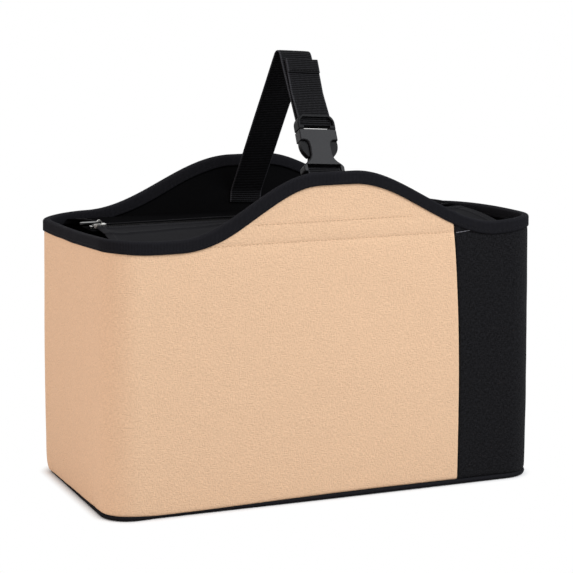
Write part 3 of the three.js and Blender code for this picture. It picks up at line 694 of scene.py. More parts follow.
# Half the gap between the two panels at their seam
SEAM_GAP = 0.25 * MM
# Heights between which a panel's points stand dense for the lid's seam
SHELL_SHOULDER, SEAM_TOP = 188 * MM, 201.5 * MM
# How far below the rim line a panel ends, under the tape
PANEL_DROP = 1.2 * MM
# Stitches on the long walls: the lid's row, its grey stretch on the black panel, the upper row
LID_ROW_FROM, LID_ROW_TO = -118 * MM, 123 * MM
UPPER_ROW = 211.8 * MM
UPPER_ROW_FROM, UPPER_ROW_TO = -60 * MM, 66 * MM


def seam_at(w, z):
    rise = max(z - w.seam_bend, 0) / (w.lid_height - w.seam_bend)
    return w.seam - w.seam_sweep * rise**2


def cloth_foot(x, side):
    """Height of the cloth's lower edge: it covers more of the piping on the left."""
    long_wall = lerp(2.4, 4.1, smoothstep(x, -130 * MM, 20 * MM))
    left_end = lerp(3.6, 1.1, (side + 1) / 2)
    return lerp(long_wall, left_end, smoothstep(-x, 132 * MM, 162 * MM)) * MM


def panel_columns(w, sign):
    """Columns of a shell panel, from its front seam round its end wall to its back seam. Each
    is (point at an inset and height, side of the bag from -1 to 1)."""
    # The cloth turns in at the seam: distance from the seam, and how deep it has gone
    fold = [(2.2, 2.3), (1.2, 2.2), (0.35, 1.8), (0.02, 1.2), (0.0, 0.75), (0.16, 0.35)]
    fold += [(0.5, 0.1), (1.1, -0.08), (2.0, -0.16), (3.4, -0.14), (5.0, -0.05)]

    def along(v, share, shift, tuck):
        def at(inset, z):
            edge = seam_at(w, z) + sign * SEAM_GAP
            corner = sign * (half_length(w, z) - w.corner)
            x = lerp(edge + sign * shift * MM, corner, share)
            return Vector((x, v * (half_depth(w, z) - inset - tuck * MM), z))

        return at

    def turned(*station):
        return lambda inset, z: wall_place(w, station, inset, z)

    steps = 90 if sign < 0 else 20
    wall = [(0, shift, tuck) for shift, tuck in fold]
    wall += [(k / steps, fold[-1][0], 0) for k in range(1, steps)]
    quarter = [k / 14 * math.pi / 2 for k in range(15)]
    columns = [(along(-1, *place), -1) for place in wall]
    columns += [(turned(sign, -1, sign * math.sin(a), -math.cos(a)), -1) for a in quarter]
    columns += [(turned(sign, 2 * k / 44 - 1, sign, 0), 2 * k / 44 - 1) for k in range(1, 44)]
    columns += [(turned(sign, 1, sign * math.cos(a), math.sin(a)), 1) for a in quarter]
    return columns + [(along(1, *place), 1) for place in reversed(wall)]


def shell_relief(w, x, z, side, rim):
    """How far the cloth's face lies inside (or, negative, outside) the plain wall."""
    foot = z - cloth_foot(x, side)
    roll = 1.2 * MM * math.exp(-foot / (0.7 * MM))
    round_foot = smoothstep(-x, 160 * MM, 172 * MM) * (side + 1) / 2
    roll += (0.2 + 2.2 * round_foot) * MM * math.exp(-foot / (4.5 * MM))
    relief = roll - w.pillow * math.sin(math.pi * clamp((z - 6 * MM) / (190 * MM)))
    relief -= waver(x + 0.5 * side, z, 70 * MM, 0.55 * MM, side + 3)
    relief -= waver(x, z, 22 * MM, 0.16 * MM, side + 7)
    # The seam that holds the lid draws a long wall in, more gently from below than from above
    on_wall = smoothstep(w.length / 2 - w.corner - abs(x), 0, 20 * MM) if abs(side) == 1 else 0
    over = z - w.lid_height + w.row_drop
    ease = 2.2 * MM if over > 0 else 5.5 * MM
    relief += on_wall * 0.5 * MM * math.exp(-abs(over) / ease)
    # Stitches low on the crown, and the cloth pinched under the binding
    if side == -1:
        row = smoothstep(x, UPPER_ROW_FROM - 6 * MM, UPPER_ROW_FROM)
        row *= smoothstep(-x, -UPPER_ROW_TO - 6 * MM, -UPPER_ROW_TO)
        ease = 0.9 * MM if z > UPPER_ROW else 2.2 * MM
        relief += row * 0.14 * MM * math.exp(-(((z - UPPER_ROW) / ease) ** 2))
    below = rim - w.binding - z
    return relief + 0.35 * MM * smoothstep(-below, -2.5 * MM, 1 * MM)


def shell_heights(w, rim, foot):
    """Heights of a column's points: dense at the foot and at the seams, then up to the rim."""
    above = [0, 0.3, 0.7, 1.2, 1.9, 2.8, 4, 6, 9, 13, 18]
    heights = [foot + d * MM for d in above]
    heights += between(27 * MM, SHELL_SHOULDER, 40)
    seam = [-7, -4.5, -2.8, -1.6, -0.9, -0.45, -0.15, 0, 0.3, 0.8, 1.5, 2.4]
    heights += [w.lid_height - w.row_drop + d * MM for d in seam]
    heights.append(SEAM_TOP)
    top = max(rim, w.rim) - PANEL_DROP
    row = [2, 4.5, 7, 8.4, 9.1, 9.5, 9.8, 10.1, 10.5, 11.2, 12.6]
    squeeze = min(1.0, 0.6 * (top - SEAM_TOP) / (row[-1] * MM))
    heights += [SEAM_TOP + d * MM * squeeze for d in row]
    heights += between(heights[-1], top, 16)[1:]
    # Where the rim is lower than that, the upper points move down with it
    share = (rim - PANEL_DROP - SHELL_SHOULDER) / (top - SHELL_SHOULDER)
    if share < 1:
        heights = [z - max(z - SHELL_SHOULDER, 0) * (1 - share) for z in heights]
    return heights


def rim_over(w, at, side):
    """Height of the rim over a column of a panel, which leans a little on its way up."""
    rim = w.rim
    for _ in range(4):
        stretch = (w.length / 2 - w.corner) / (half_length(w, rim) - w.corner)
        rim = rim_at(w, at(0, rim).x * stretch, side)
    return rim


class ORGANIZER_OT_outer_panels(bpy.types.Operator):
    """Build the tan and the black felt panels of the shell, with their folded seam edges"""

    bl_idname = "organizer.outer_panels"
    bl_label = "Outer panels"

    def execute(self, context):
        w, _, _ = settings()
        panels = [
            ("tan_felt_cover", -1, felt_tan(w.tan), "tan_felt", "tan_shell_panel"),
            ("black_felt_cover", 1, felt_black(w.black), "black_fabric", "black_shell_panel"),
        ]
        for name, sign, material, slot, node in panels:
            made = self.panel(name, w, sign, material, slot)
            attach(made, "bag", node)
        return {"FINISHED"}

    def panel(self, name, w, sign, material, slot):
        columns = panel_columns(w, sign)
        distances = travelled([at(0, 0.1) for at, _ in columns])
        rows = []
        for at, side in columns:
            x = at(0, 0.2).x
            rim = rim_over(w, at, side)
            heights = shell_heights(w, rim, cloth_foot(x, side))
            rows.append([at(shell_relief(w, x, z, side, rim), z) for z in heights][::sign])
        return grid_object(name, rows, lambda i, j: (distances[i], rows[i][j].z), material, slot)


def wall_row(w, v, x0, x1, z, lift=0.0, climb=0.0):
    """A row on a long wall as a path for stitches, level or with a climb to its end."""
    steps = max(int(abs(x1 - x0) / (3 * MM)), 2)
    path = []
    for k in range(steps + 1):
        x = lerp(x0, x1, k / steps)
        here = z + climb * k / steps
        out = half_depth(w, here) - shell_relief(w, x, here, v, rim_at(w, x, v)) + lift
        path.append((Vector((x, v * out, here)), Vector((0, v, 0))))
    return path


class ORGANIZER_OT_wall_stitches(bpy.types.Operator):
    """Sew the rows of stitches on the long walls: the lid seam and the row low on the crown"""

    bl_idname = "organizer.wall_stitches"
    bl_label = "Wall stitches"

    def execute(self, context):
        w, _, _ = settings()
        z = w.lid_height - w.row_drop
        edge = seam_at(w, z)
        tan_rows = [wall_row(w, v, LID_ROW_FROM, edge - 2 * MM, z) for v in (-1, 1)]
        tan_rows.append(wall_row(w, -1, UPPER_ROW_FROM, UPPER_ROW_TO, UPPER_ROW))
        # On the black panel the row starts a little lower, lies loose and climbs to its end
        loose = (edge + 1 * MM, LID_ROW_TO, z - 0.7 * MM, 0.3 * MM, 2.1 * MM)
        black_rows = [wall_row(w, v, *loose) for v in (-1, 1)]
        tan, grey = thread_yarn("tan", shaded(w.tan, 0.74)), thread_yarn("grey", w.pale_thread)
        rows = [("lid_seam_stitches", tan_rows, tan, "tan_felt", w.stitch)]
        name = "lid_seam_stitches_on_black"
        rows.append((name, black_rows, grey, "black_fabric", w.stitch, 0.32 * MM, 1.0))
        for row in rows:
            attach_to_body(stitch_object(*row), "bag")
        return {"FINISHED"}


# The tape's hems, outside and inside: distance in from its face and down from its edge, in mm
OUTER_HEM = ((0.6, -0.4), (0.3, 0.05), (0.05, -0.15), (-0.05, -1.2), (0.12, -2.2), (-0.05, -3.4))
INNER_HEM = ((0.05, -3.4), (-0.12, -2.2), (0.05, -1.2), (-0.3, 0), (-0.6, -0.4))


class ORGANIZER_OT_rim_binding(bpy.types.Operator):
    """Fold the ribbed tape over the rim and sew it down inside and outside"""

    bl_idname = "organizer.rim_binding"
    bl_label = "Rim binding"

    def execute(self, context):
        w, _, _ = settings()
        stations = plan(150, 60, 12)
        rims = [station_rim(w, station) for station in stations]
        rows = []
        for k, station in enumerate(stations):
            place = wall_place(w, station, 0, rims[k])
            # Square to the sloping rim the tape keeps its width, more or less: it is stretched
            # on the slopes to the right and slack on those to the left
            after = (k + 1) % len(stations)
            ends = [wall_place(w, stations[i], 0, 0) for i in (k - 1, after)]
            steep = math.hypot(1, (rims[after] - rims[k - 1]) / (ends[1] - ends[0]).length)
            slack = 1.5 if place.x < w.crown_x else 0.6
            drop = w.binding * (1 + (steep - 1) * slack) - 0.5 * MM * abs(station[2])
            section = self.section(w, drop, place.x + place.y)
            rows.append([wall_place(w, station, inset, rims[k] - down) for inset, down in section])
        tape = binding_tape(w.tape)
        across = travelled(rows[0])
        band_object("rim_tape", rows, 8, across, tape, "binding", "rim_binding")
        # The stitches sink into the grooves of the two hems
        paths = []
        for spot, side in ((4, 1), (-4, -1)):
            path = []
            for row, (_, _, nx, ny) in zip(rows, stations):
                path.append((row[spot], Vector((side * nx, side * ny, 0))))
            paths.append(path + path[:1])
        thread = thread_yarn("black", linear("#1a1a1c"))
        sewn = stitch_object("rim_stitches", paths, thread, "binding", w.stitch, 0.18 * MM)
        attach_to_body(sewn, "bag")
        return {"FINISHED"}

    def section(self, w, drop, along):
        """The folded tape cut across, as (inset, distance down from the rim)."""
        outer, inner = -0.9 * MM, w.thickness + 0.9 * MM
        middle, half = (outer + inner) / 2, (inner - outer) / 2
        hang = drop + waver(along, 1, 30 * MM, 0.5 * MM)
        back = drop + waver(along, 5, 30 * MM, 0.5 * MM)
        puff = waver(along, 9, 14 * MM, 0.18 * MM)
        shoulder = 2.2 * MM
        section = [(outer + d * MM, hang + e * MM) for d, e in OUTER_HEM]
        section += [(outer - puff, lerp(shoulder, hang, s)) for s in (0.45, 0.2, 0)]
        for step in range(9):
            angle = math.pi * step / 8
            down = 2.0 * MM * (1 - math.sin(angle)) - 0.1 * MM
            section.append((middle - (half + puff) * math.cos(angle), down))
        section += [(inner + 0.05 * MM, lerp(shoulder, back, s)) for s in (0.2, 0.45)]
        return section + [(inner + d * MM, back + e * MM) for d, e in INNER_HEM]


class ORGANIZER_OT_base(bpy.types.Operator):
    """Lay the piping round the lower edge, the cloth under the base and the lining on it"""

    bl_idname = "organizer.base"
    bl_label = "Base"

    def execute(self, context):
        w, _, _ = settings()
        self.piping(w)
        felt, lining = felt_black(w.black), lining_cloth(w.lining)
        cover = self.cloth("base_cover", w, 0, 1 * MM, felt, "black_fabric")
        attach(cover, "bag", "base_panel")
        inside = self.cloth("base_lining_cloth", w, 3.6 * MM, 0.6 * MM, lining, "lining")
        attach(inside, "bag", "base_lining")
        return {"FINISHED"}

    def piping(self, w):
        radius, lift, sides = 1.9 * MM, 0.15 * MM, 16
        rows = []
        for station in plan(120, 50, 12):
            flat = wall_place(w, station, 0, 0)
            swell = 1 + waver(flat.x + flat.y, 2, 12 * MM, 0.06)
            covered = max(4 * MM - cloth_foot(flat.x, station[1]), 0)
            thick = radius - 0.3 * covered
            row = []
            for k in range(sides):
                angle = math.tau * k / sides
                deep = 1.6 * MM + 0.8 * covered + thick * swell * math.cos(angle)
                row.append(wall_place(w, station, deep, lift + thick * (1 + math.sin(angle))))
            rows.append(row)
        tape = binding_tape(w.tape)
        around = [k * math.tau * radius / sides for k in range(sides + 1)]
        name, node = "base_piping_cover", "base_piping"
        band_object(name, rows, sides // 2, around, tape, "binding", node, ring=True)

    def cloth(self, name, w, z, thickness, material, slot):
        """A level cloth inside the walls, closed all round and a little uneven."""
        places = plan(60, 26, 8)
        scales = [1, 0.997, 0.985, 0.94, 0.85, 0.7, 0.5, 0.3, 0.12]
        inset, size, sag = 3.8 * MM, 0.06, 0.2 * MM

        def ring_at(scale, height, side):
            row = []
            for station in places:
                point = wall_place(w, station, inset, 0) * scale
                dip = sag * noise.noise(Vector((point.x / size, point.y / size, z * 99)))
                row.append(Vector((point.x, point.y, height + abs(dip) * side)))
            return row

        rows = [ring_at(scale, z, 1) for scale in reversed(scales)]
        rows += [ring_at(scale, z + thickness, -1) for scale in scales]
        for row in rows[len(scales) - 1 : len(scales) + 1]:
            for point in row:
                point.z = lerp(point.z, z + thickness / 2, 0.35)
        return level_cloth(name, rows, material, slot)


class ORGANIZER_OT_lining(bpy.types.Operator):
    """Hang the lining on the inside of the walls"""

    bl_idname = "organizer.lining"
    bl_label = "Lining"

    def execute(self, context):
        w, _, _ = settings()
        foot, steps = 4.6 * MM, 60
        rows = []
        for station in plan(120, 50, 10):
            rim = station_rim(w, station)
            flat = wall_place(w, station, 0, 0)
            along = flat.x + flat.y
            row = []
            for z in between(foot, rim - 1.5 * MM, steps):
                slack = waver(along, z, 35 * MM, 0.5 * MM, 4) + waver(along, z, 12 * MM, 0.2 * MM)
                pinch = smoothstep(rim - z, 8 * MM, 16 * MM) * smoothstep(z, foot, 20 * MM)
                row.append(wall_place(w, station, w.thickness + slack * pinch, z))
            rows.append(row[::-1])
        cloth = lining_cloth(w.lining)
        down = [(steps - k) * 4 * MM for k in range(steps + 1)]
        name, node = "wall_lining_cloth", "wall_lining"
        band_object(name, rows, steps // 2, down, cloth, "lining", node)
        return {"FINISHED"}


class ORGANIZER_OT_core(bpy.types.Operator):
    """Give the foam, the board and the folded cloth inside the walls their finishes"""

    bl_idname = "organizer.core"
    bl_label = "Core"

    def execute(self, context):
        w, _, _ = settings()
        for name in ("front_foam", "back_foam", "left_end_foam", "right_end_foam"):
            finish_node(name, foam_sheet())
        finish_node("base_board", board_plastic())
        for name in ("front_seam_allowance", "back_seam_allowance"):
            finish_node(name, felt_black(w.black))
        return {"FINISHED"}


# Lid and zip

# Distances from a flap's edge that draw its two-layer hem, in mm, and how much the second layer
# lifts it
FLAP_EDGE = (0, 0.4, 1, 2, 3.2, 4.6, 6, 6.6, 7, 7.6)
HEM_FROM, HEM_TO, HEM_LIFT = 6.4 * MM, 7.4 * MM, 0.35 * MM
# Distances of the rows of stitches from the zip's edge, in mm, and from a flap's end
ZIP_ROWS = (2.6, 5.8)
END_ROW = 5.6 * MM
# The front tape is cut back beside the slider where that stands at either end of its travel
NOTCH_DEPTH, NOTCH_REACH = 4.7 * MM, 5.2 * MM
# One turn of the coil in mm: distance from the centre line, height over the tape, thickness
COIL_TURN = (
    (2.45, 0.35, 0.42),
    (2.3, 1.15, 0.5),
    (1.2, 1.45, 0.5),
    (0.3, 1.3, 0.6),
    (-0.3, 0.85, 0.72),
    (0.3, 0.42, 0.6),
    (1.4, 0.4, 0.45),
)


def flap_root(w):
    return inner_face(w, w.lid_height) - 1.2 * MM


def tuck_line(x):
    """Where the sewn tuck runs slantwise over the front flap, from near its left end."""
    return -41 * MM + 0.2 * (x + 157 * MM)


def tuck(x, y):
    """Height of the tuck: its fold stands up steeply towards the front wall."""
    across = y - tuck_line(x)
    fade = 1 - smoothstep(x, -70 * MM, 0)
    ease = 0.8 * MM if across < 0 else 3 * MM
    return fade * 1.3 * MM * math.exp(-abs(across) / ease)


def flap_height(w, lid, x, y, side):
    """Height of a flap's face: it climbs from the wall to the level strip along the zip, with
    its slack, its turned edges and, in front, its tuck."""
    root, across, from_end = flap_root(w), abs(y), lid.reach - abs(x)
    climb = clamp((root - across) / (root - lid.level))
    z = w.lid_height + lid.dome * math.sin(climb * math.pi / 2)
    loose = smoothstep(min(root - across, across - lid.slot / 2, from_end), 0, 16 * MM)
    z -= loose * (1.3 * MM + waver(x, y, 55 * MM, 1.6 * MM, side) + waver(x, y, 20 * MM, 0.4 * MM))
    for inward in (across - lid.slot / 2, from_end):
        z += HEM_LIFT * (1 - smoothstep(inward, HEM_FROM, HEM_TO))
    return z + tuck(x, y) if side < 0 else z


def flap_point(w, lid, x, y, side):
    """A point of a flap's face. The front flap's left end is cut slantwise, longer towards the
    wall, and follows the rounded corner of the walls; x is given as if it were cut square."""
    shift = 0
    if side < 0:
        share = (abs(y) - lid.slot / 2) / (flap_root(w) - lid.slot / 2)
        bend = max(abs(y) - half_depth(w, w.lid_height) + w.corner, 0)
        room = math.sqrt(max((w.corner - w.thickness - 4 * MM) ** 2 - bend**2, 0))
        shift = min(lerp(*lid.flare, share), room) * smoothstep(-x, 100 * MM, lid.reach)
    return Vector((x - shift, y, flap_height(w, lid, x, y, side)))


class ORGANIZER_OT_lid(bpy.types.Operator):
    """Cut the two flaps of the lid, turn their edges and sew them"""

    bl_idname = "organizer.lid"
    bl_label = "Lid"

    def execute(self, context):
        w, lid, _ = settings()
        charcoal = lid_cloth("woven_coated_polyester_charcoal", lid.fabric, 0.02)
        # The back flap is the same charcoal cloth, darker and without shine: painted shade from the
        # back wall
        black = lid_cloth("woven_coated_polyester_black", lid.back_fabric_painted_shade, 0.0)
        thread = thread_yarn("charcoal", linear("#252527"))
        for name, side, cloth in (("front", -1, charcoal), ("back", 1, black)):
            flap, stitches = f"lid_{name}_cloth", f"lid_{name}_stitches"
            made = level_cloth(flap, self.flap(w, lid, side), cloth, "lid_fabric")
            width = flap_root(w) - lid.slot / 2
            attach(made, f"lid_{name}", f"lid_{name}_flap")
            rows = self.seams(w, lid, side)
            sewn = stitch_object(stitches, rows, thread, "lid_fabric", w.stitch, 0.2 * MM)
            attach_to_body(sewn, f"lid_{name}")
        return {"FINISHED"}

    def flap(self, w, lid, side):
        """Rings of points round a flap, one for each place along the zip."""
        root, free, half = flap_root(w), lid.slot / 2, lid.cloth / 2
        ys = [free + d * MM for d in FLAP_EDGE]
        ys += between(ys[-1], root, 80)[1:]
        xs = [-lid.reach + d * MM for d in FLAP_EDGE]
        xs += between(xs[-1], -xs[-1], 110)[1:-1] + [-x for x in reversed(xs)]
        rows = []
        for x in xs:
            top = [flap_point(w, lid, x, side * y, side) for y in ys]
            ends = min(abs(lid.reach - abs(x)) / (0.6 * MM), 1)
            thick = half * (0.35 + 0.65 * math.sqrt(ends))
            row = [p + Vector((0, 0, thick - half - 0.15 * MM)) for p in top]
            under = [p - Vector((0, 0, half + thick - 0.15 * MM)) for p in reversed(top)]
            row[0].z -= 0.3 * MM
            under[-1].z += 0.3 * MM
            nose = Vector((top[0].x, side * (free - 0.25 * MM), top[0].z - half))
            rows.append((row + under + [nose])[::side])
        return rows

    def seams(self, w, lid, side):
        """Paths of the stitches: two rows along the zip, one at each end, one beside the tuck."""
        up = Vector((0, 0, 1))

        def sewn(places):
            return [(flap_point(w, lid, x, y, side) - up * 0.1 * MM, up) for x, y in places]

        free, reach = lid.slot / 2, lid.reach
        span = between(-reach + 3 * MM, reach - 3 * MM, 99)
        depth = between(free + 3 * MM, flap_root(w) - 6 * MM, 29)
        paths = [sewn([(x, side * (free + d * MM)) for x in span]) for d in ZIP_ROWS]
        paths += [sewn([(end * (reach - END_ROW), side * y) for y in depth]) for end in (-1, 1)]
        if side < 0:
            tucked = between(-reach + 8 * MM, -40 * MM, 39)
            paths.append(sewn([(x, tuck_line(x) + 3.6 * MM) for x in tucked]))
        return paths


class ORGANIZER_OT_zip(bpy.types.Operator):
    """Lay the zip tapes, wind the two coils and finish the slider, its pull and the end stops"""

    bl_idname = "organizer.zip"
    bl_label = "Zip"

    def execute(self, context):
        w, lid, strap = settings()
        top = w.lid_height + lid.dome - lid.cloth - CLEAR
        tape_cloth, coil = zip_tape_cloth(lid.zip_tape), coil_nylon()
        slider = plated_zinc("nickel_plated_zinc", strap.metal, 0.2)
        pull = plated_zinc("black_nickel_plated_zinc", linear("#232325"), 0.3)
        for name, side in (("front", -1), ("back", 1)):
            rows = self.tape(lid, side, top)
            tape = level_cloth(f"zip_tape_{name}_cloth", rows, tape_cloth, "zip_tape")
            attach(tape, f"lid_{name}", f"zip_tape_{name}")
            turns = self.coil(f"zip_coil_{name}", side, top, lid.pitch, coil)
            attach(turns, f"lid_{name}", f"zip_teeth_{name}")
            finish_node(f"zip_stop_{name}", slider, 0.25 * MM)
        finish_node("zip_slider", slider, 0.28 * MM)
        finish_node("zip_pull", pull, 0.3 * MM)
        return {"FINISHED"}

    def tape(self, lid, side, top):
        """Rings of points round a tape; the front one leaves room at both ends of the travel."""
        low_corner, high_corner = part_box("zip_slider")
        park = (low_corner.x + high_corner.x) / 2
        travel = next(j["range_m"][1] for j in frame["joints"] if j["name"] == "zip_slide")
        near, far = 0.5 * MM, 0.5 * MM + lid.tape_width
        rows = []
        for x in between(-lid.tape_reach, lid.tape_reach, 240):
            room = min(abs(x - park), abs(x - park - travel))
            start = NOTCH_DEPTH if side < 0 and room < NOTCH_REACH else near
            ripple = waver(x, side, 25 * MM, 0.12 * MM, 2)
            across = [start, start + 0.8 * MM, 4.9 * MM, 7 * MM, 10 * MM, far - 1 * MM, far]
            high = [Vector((x, side * y, top - 0.05 * MM + ripple * 0.4)) for y in across]
            low = [p - Vector((0, 0, 0.45 * MM)) for p in reversed(high)]
            rows.append((high + low)[::side])
        return rows

    def coil(self, name, side, top, pitch, material):
        """One half of the coil: a row of turns, each a flattened loop with a bulged head."""
        start, end = (corner.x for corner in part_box("zip_teeth_front"))
        angles = [math.tau * s / 6 for s in range(6)]
        points, faces = [], []
        for k in range(int((end - start) / pitch)):
            x = start + (k + (0.25 if side < 0 else 0.75)) * pitch
            rings = []
            for y, z, thick in COIL_TURN:
                ring = []
                for angle in angles:
                    place = x + thick * MM / 2 * math.cos(angle) * 1.25
                    out = side * (y * MM + 0.16 * MM * math.sin(angle))
                    ring.append(Vector((place, out, top + z * MM + 0.2 * MM * math.sin(angle))))
                rings.append(ring)
            add_tube(points, faces, rings, flip=side < 0)
        return mesh_object(name, points, faces, material, "zip_coil")


# Strap and buckle

BUCKLE_FOOT = (-63.9 * MM, 245.3 * MM)
BUCKLE_LEAN = math.radians(57.7)
# Along the buckle and out of its face: the ladder bar, about which the strap turns
LADDER = (39 * MM, -0.6 * MM)
LADDER_TURN = 2.15 * MM
PLUG_TOP = 45.3 * MM
TAIL_TOP = 323 * MM
# Where the strap's two legs would meet if its top weren't round, and the foot of its bar tack
LOOP_TOP = Vector((5.4 * MM, 334.8 * MM))
TACK_FOOT, TACK_STEP, TACK_ROWS = 205.5, 1.7, 6


def along_buckle(along, out):
    """A point of the upright plane, from places along the buckle and out of its face."""
    y = BUCKLE_FOOT[0] + along * math.cos(BUCKLE_LEAN) - out * math.sin(BUCKLE_LEAN)
    z = BUCKLE_FOOT[1] + along * math.sin(BUCKLE_LEAN) + out * math.cos(BUCKLE_LEAN)
    return Vector((y, z))


def rounded_line(corners, arc_steps=12):
    """A line through (point, radius) corners, rounded at the inner ones."""
    line = [corners[0][0]]
    for i in range(1, len(corners) - 1):
        here, radius = corners[i]
        back = (corners[i - 1][0] - here).normalized()
        ahead = (corners[i + 1][0] - here).normalized()
        half = math.acos(max(-1, min(1, back.dot(ahead)))) / 2
        centre = (back + ahead).normalized() * (radius / math.sin(half))
        start = back * (radius / math.tan(half)) - centre
        left_hand = back.x * ahead.y - back.y * ahead.x > 0
        turn = 2 * half - math.pi if left_hand else math.pi - 2 * half
        for k in range(arc_steps + 1):
            line.append(here + centre + Matrix.Rotation(turn * k / arc_steps, 2) @ start)
    line.append(corners[-1][0])
    return line


def resampled(line, spacing):
    """The same line with points an even spacing apart."""
    distances = travelled(line)
    count = max(round(distances[-1] / spacing), 2)
    targets = [distances[-1] * k / count for k in range(count + 1)]
    return [line[i].lerp(line[i + 1], part) for i, part in stretches(distances, targets)]


def webbing_object(name, line, strap, centre_at, material, ribbed=True, thickness=None):
    """Ribbed webbing along a line of the upright plane; centre_at(z) gives its middle."""
    thickness = thickness or strap.thickness
    line = resampled(line, strap.rib / 5)
    distances = travelled(line)
    shares = [-1, -0.985, -0.94, -0.88, -0.8, -0.4, 0, 0.4, 0.8, 0.88, 0.94, 0.985, 1]
    rows = []
    for k, point in enumerate(line):
        before, after = line[max(k - 1, 0)], line[min(k + 1, len(line) - 1)]
        along = (after - before).normalized()
        out = Vector((-along.y, along.x))
        rib = math.cos(math.tau * distances[k] / strap.rib) if ribbed else 0.15
        cup = waver(distances[k], 0.3, 40 * MM, 0.5 * MM)
        faces = []
        for side in (1, -1):
            face = []
            for share in shares:
                # Selvedges are rounded and a little flatter than the ribbed middle
                round_off = math.sqrt(max(1 - (max(abs(share) - 0.94, 0) / 0.06) ** 2, 0))
                middle = 1 - smoothstep(abs(share), 0.8, 0.9)
                half = thickness / 2 - strap.relief * 0.5
                half = half * (0.25 + 0.75 * round_off) + strap.relief * rib * middle
                spot = point + out * (side * half + cup * (share * share - 0.3))
                face.append(Vector((centre_at(point.y) + share * strap.width / 2, *spot)))
            faces.append(face[::side])
        rows.append(faces[0] + faces[1])
    across = [share * strap.width / 2 for share in shares + shares[::-1]]

    def uv_at(i, j):
        return across[j % len(across)], distances[i]

    return grid_object(name, rows, uv_at, material, "webbing", ring=True, caps=True)


def lean_over(strap, *pieces):
    """Leans upright pieces of the strap sideways about a level line at its sewn ends."""
    foot = Vector((strap.place, 0, strap.pivot))
    turn = Matrix.Rotation(strap.lean, 4, "Y")
    for piece in pieces:
        piece.data.transform(Matrix.Translation(foot) @ turn @ Matrix.Translation(-foot))


def strap_lines(w, strap):
    """Centre lines of the strap: from its sewn foot to its hem, and of the turned hem."""
    gap = CLEAR + strap.thickness / 2
    foot_z, bend_z = 204 * MM, 213 * MM
    corners = [
        (Vector((inner_face(w, foot_z) - gap, foot_z)), 0),
        (Vector((inner_face(w, bend_z) - gap, bend_z)), 10 * MM),
        (LOOP_TOP, 6.5 * MM),
        (along_buckle(LADDER[0], LADDER[1] - LADDER_TURN), 0),
    ]
    line = rounded_line(corners)
    leg_start, leg_end = line[-2:]
    for k in range(1, 13):
        angle = math.pi * k / 12
        along = LADDER[0] - LADDER_TURN * math.sin(angle)
        line.append(along_buckle(along, LADDER[1] - LADDER_TURN * math.cos(angle)))
    layer = strap.thickness + CLEAR
    up = (leg_start - leg_end).normalized()

    def beside_leg(z):
        along = (z - leg_end.y) / up.y
        return Vector((leg_end.x + up.x * along - up.y * layer, z + up.x * layer))

    leave = along_buckle(PLUG_TOP, LADDER[1] + LADDER_TURN)
    top = beside_leg(TAIL_TOP)
    hem = beside_leg(TAIL_TOP - strap.hem * up.y)
    settle = beside_leg((leave.y + hem.y) / 2)
    start = along_buckle(LADDER[0] + CLEAR, LADDER[1] + LADDER_TURN)
    tail = rounded_line([(start, 0), (leave, 20 * MM), (settle, 30 * MM), (top, 0)])
    over = Vector((-up.y, up.x)) * strap.thickness * 0.95
    return line + tail, [hem + over, top + over], leave


class ORGANIZER_OT_strap(bpy.types.Operator):
    """Weave the strap from its sewn foot over the ladder bar to its hemmed free end"""

    bl_idname = "organizer.strap"
    bl_label = "Strap"

    def execute(self, context):
        w, _, strap = settings()
        cloth = webbing_cloth(strap)
        line, hem, leave = strap_lines(w, strap)
        highest = max(range(len(line)), key=lambda k: line[k].y)
        turned = min(range(highest + 1, len(line)), key=lambda k: line[k].y)

        def straight(_):
            return strap.place

        def drifting(z):
            return strap.place + strap.slant * max(z - leave.y, 0) / (TAIL_TOP - leave.y)

        body = webbing_object("strap_webbing", line[: turned + 1], strap, straight, cloth)
        tail = webbing_object("strap_tail_webbing", line[turned:], strap, drifting, cloth)
        end = webbing_object("strap_hem", hem, strap, drifting, cloth, False, 1.15 * MM)
        lean_over(strap, body, tail, end)
        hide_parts("strap_back_leg", "strap_front_leg")
        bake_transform(body)
        attach(tail, "buckle_plug", "strap_tail")
        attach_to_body(end, "buckle_plug")
        self.sew(w, strap, hem)
        return {"FINISHED"}

    def sew(self, w, strap, hem):
        """A row over the hem, and rows of a bar tack at the foot on the back wall."""
        thread = thread_yarn("black", linear("#1a1a1c"))
        up = (hem[1] - hem[0]).normalized()
        out = Vector((0, -up.y, up.x))
        start = hem[0] + up * 1.6 * MM
        centre = strap.place + strap.slant
        xs = [centre + offset * MM for offset in between(-11, 11, 20)]
        row = [(Vector((x, *start)) + out * (strap.thickness / 2), out) for x in xs]
        tail = stitch_object("strap_hem_stitches", [row], thread, "webbing", 2.4 * MM)
        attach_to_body(tail, "buckle_plug")
        paths = []
        for k in range(TACK_ROWS):
            z = (TACK_FOOT + TACK_STEP * k) * MM
            y = inner_face(w, z) - strap.thickness - 0.32 * MM
            xs = [offset * MM + strap.place for offset in between(-10, 10, 12)]
            paths.append([(Vector((x, y, z)), Vector((0, -1, 0))) for x in xs])
        foot = stitch_object("strap_foot_stitches", paths, thread, "webbing", 1.9 * MM)
        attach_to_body(foot, "bag")
        lean_over(strap, tail, foot)


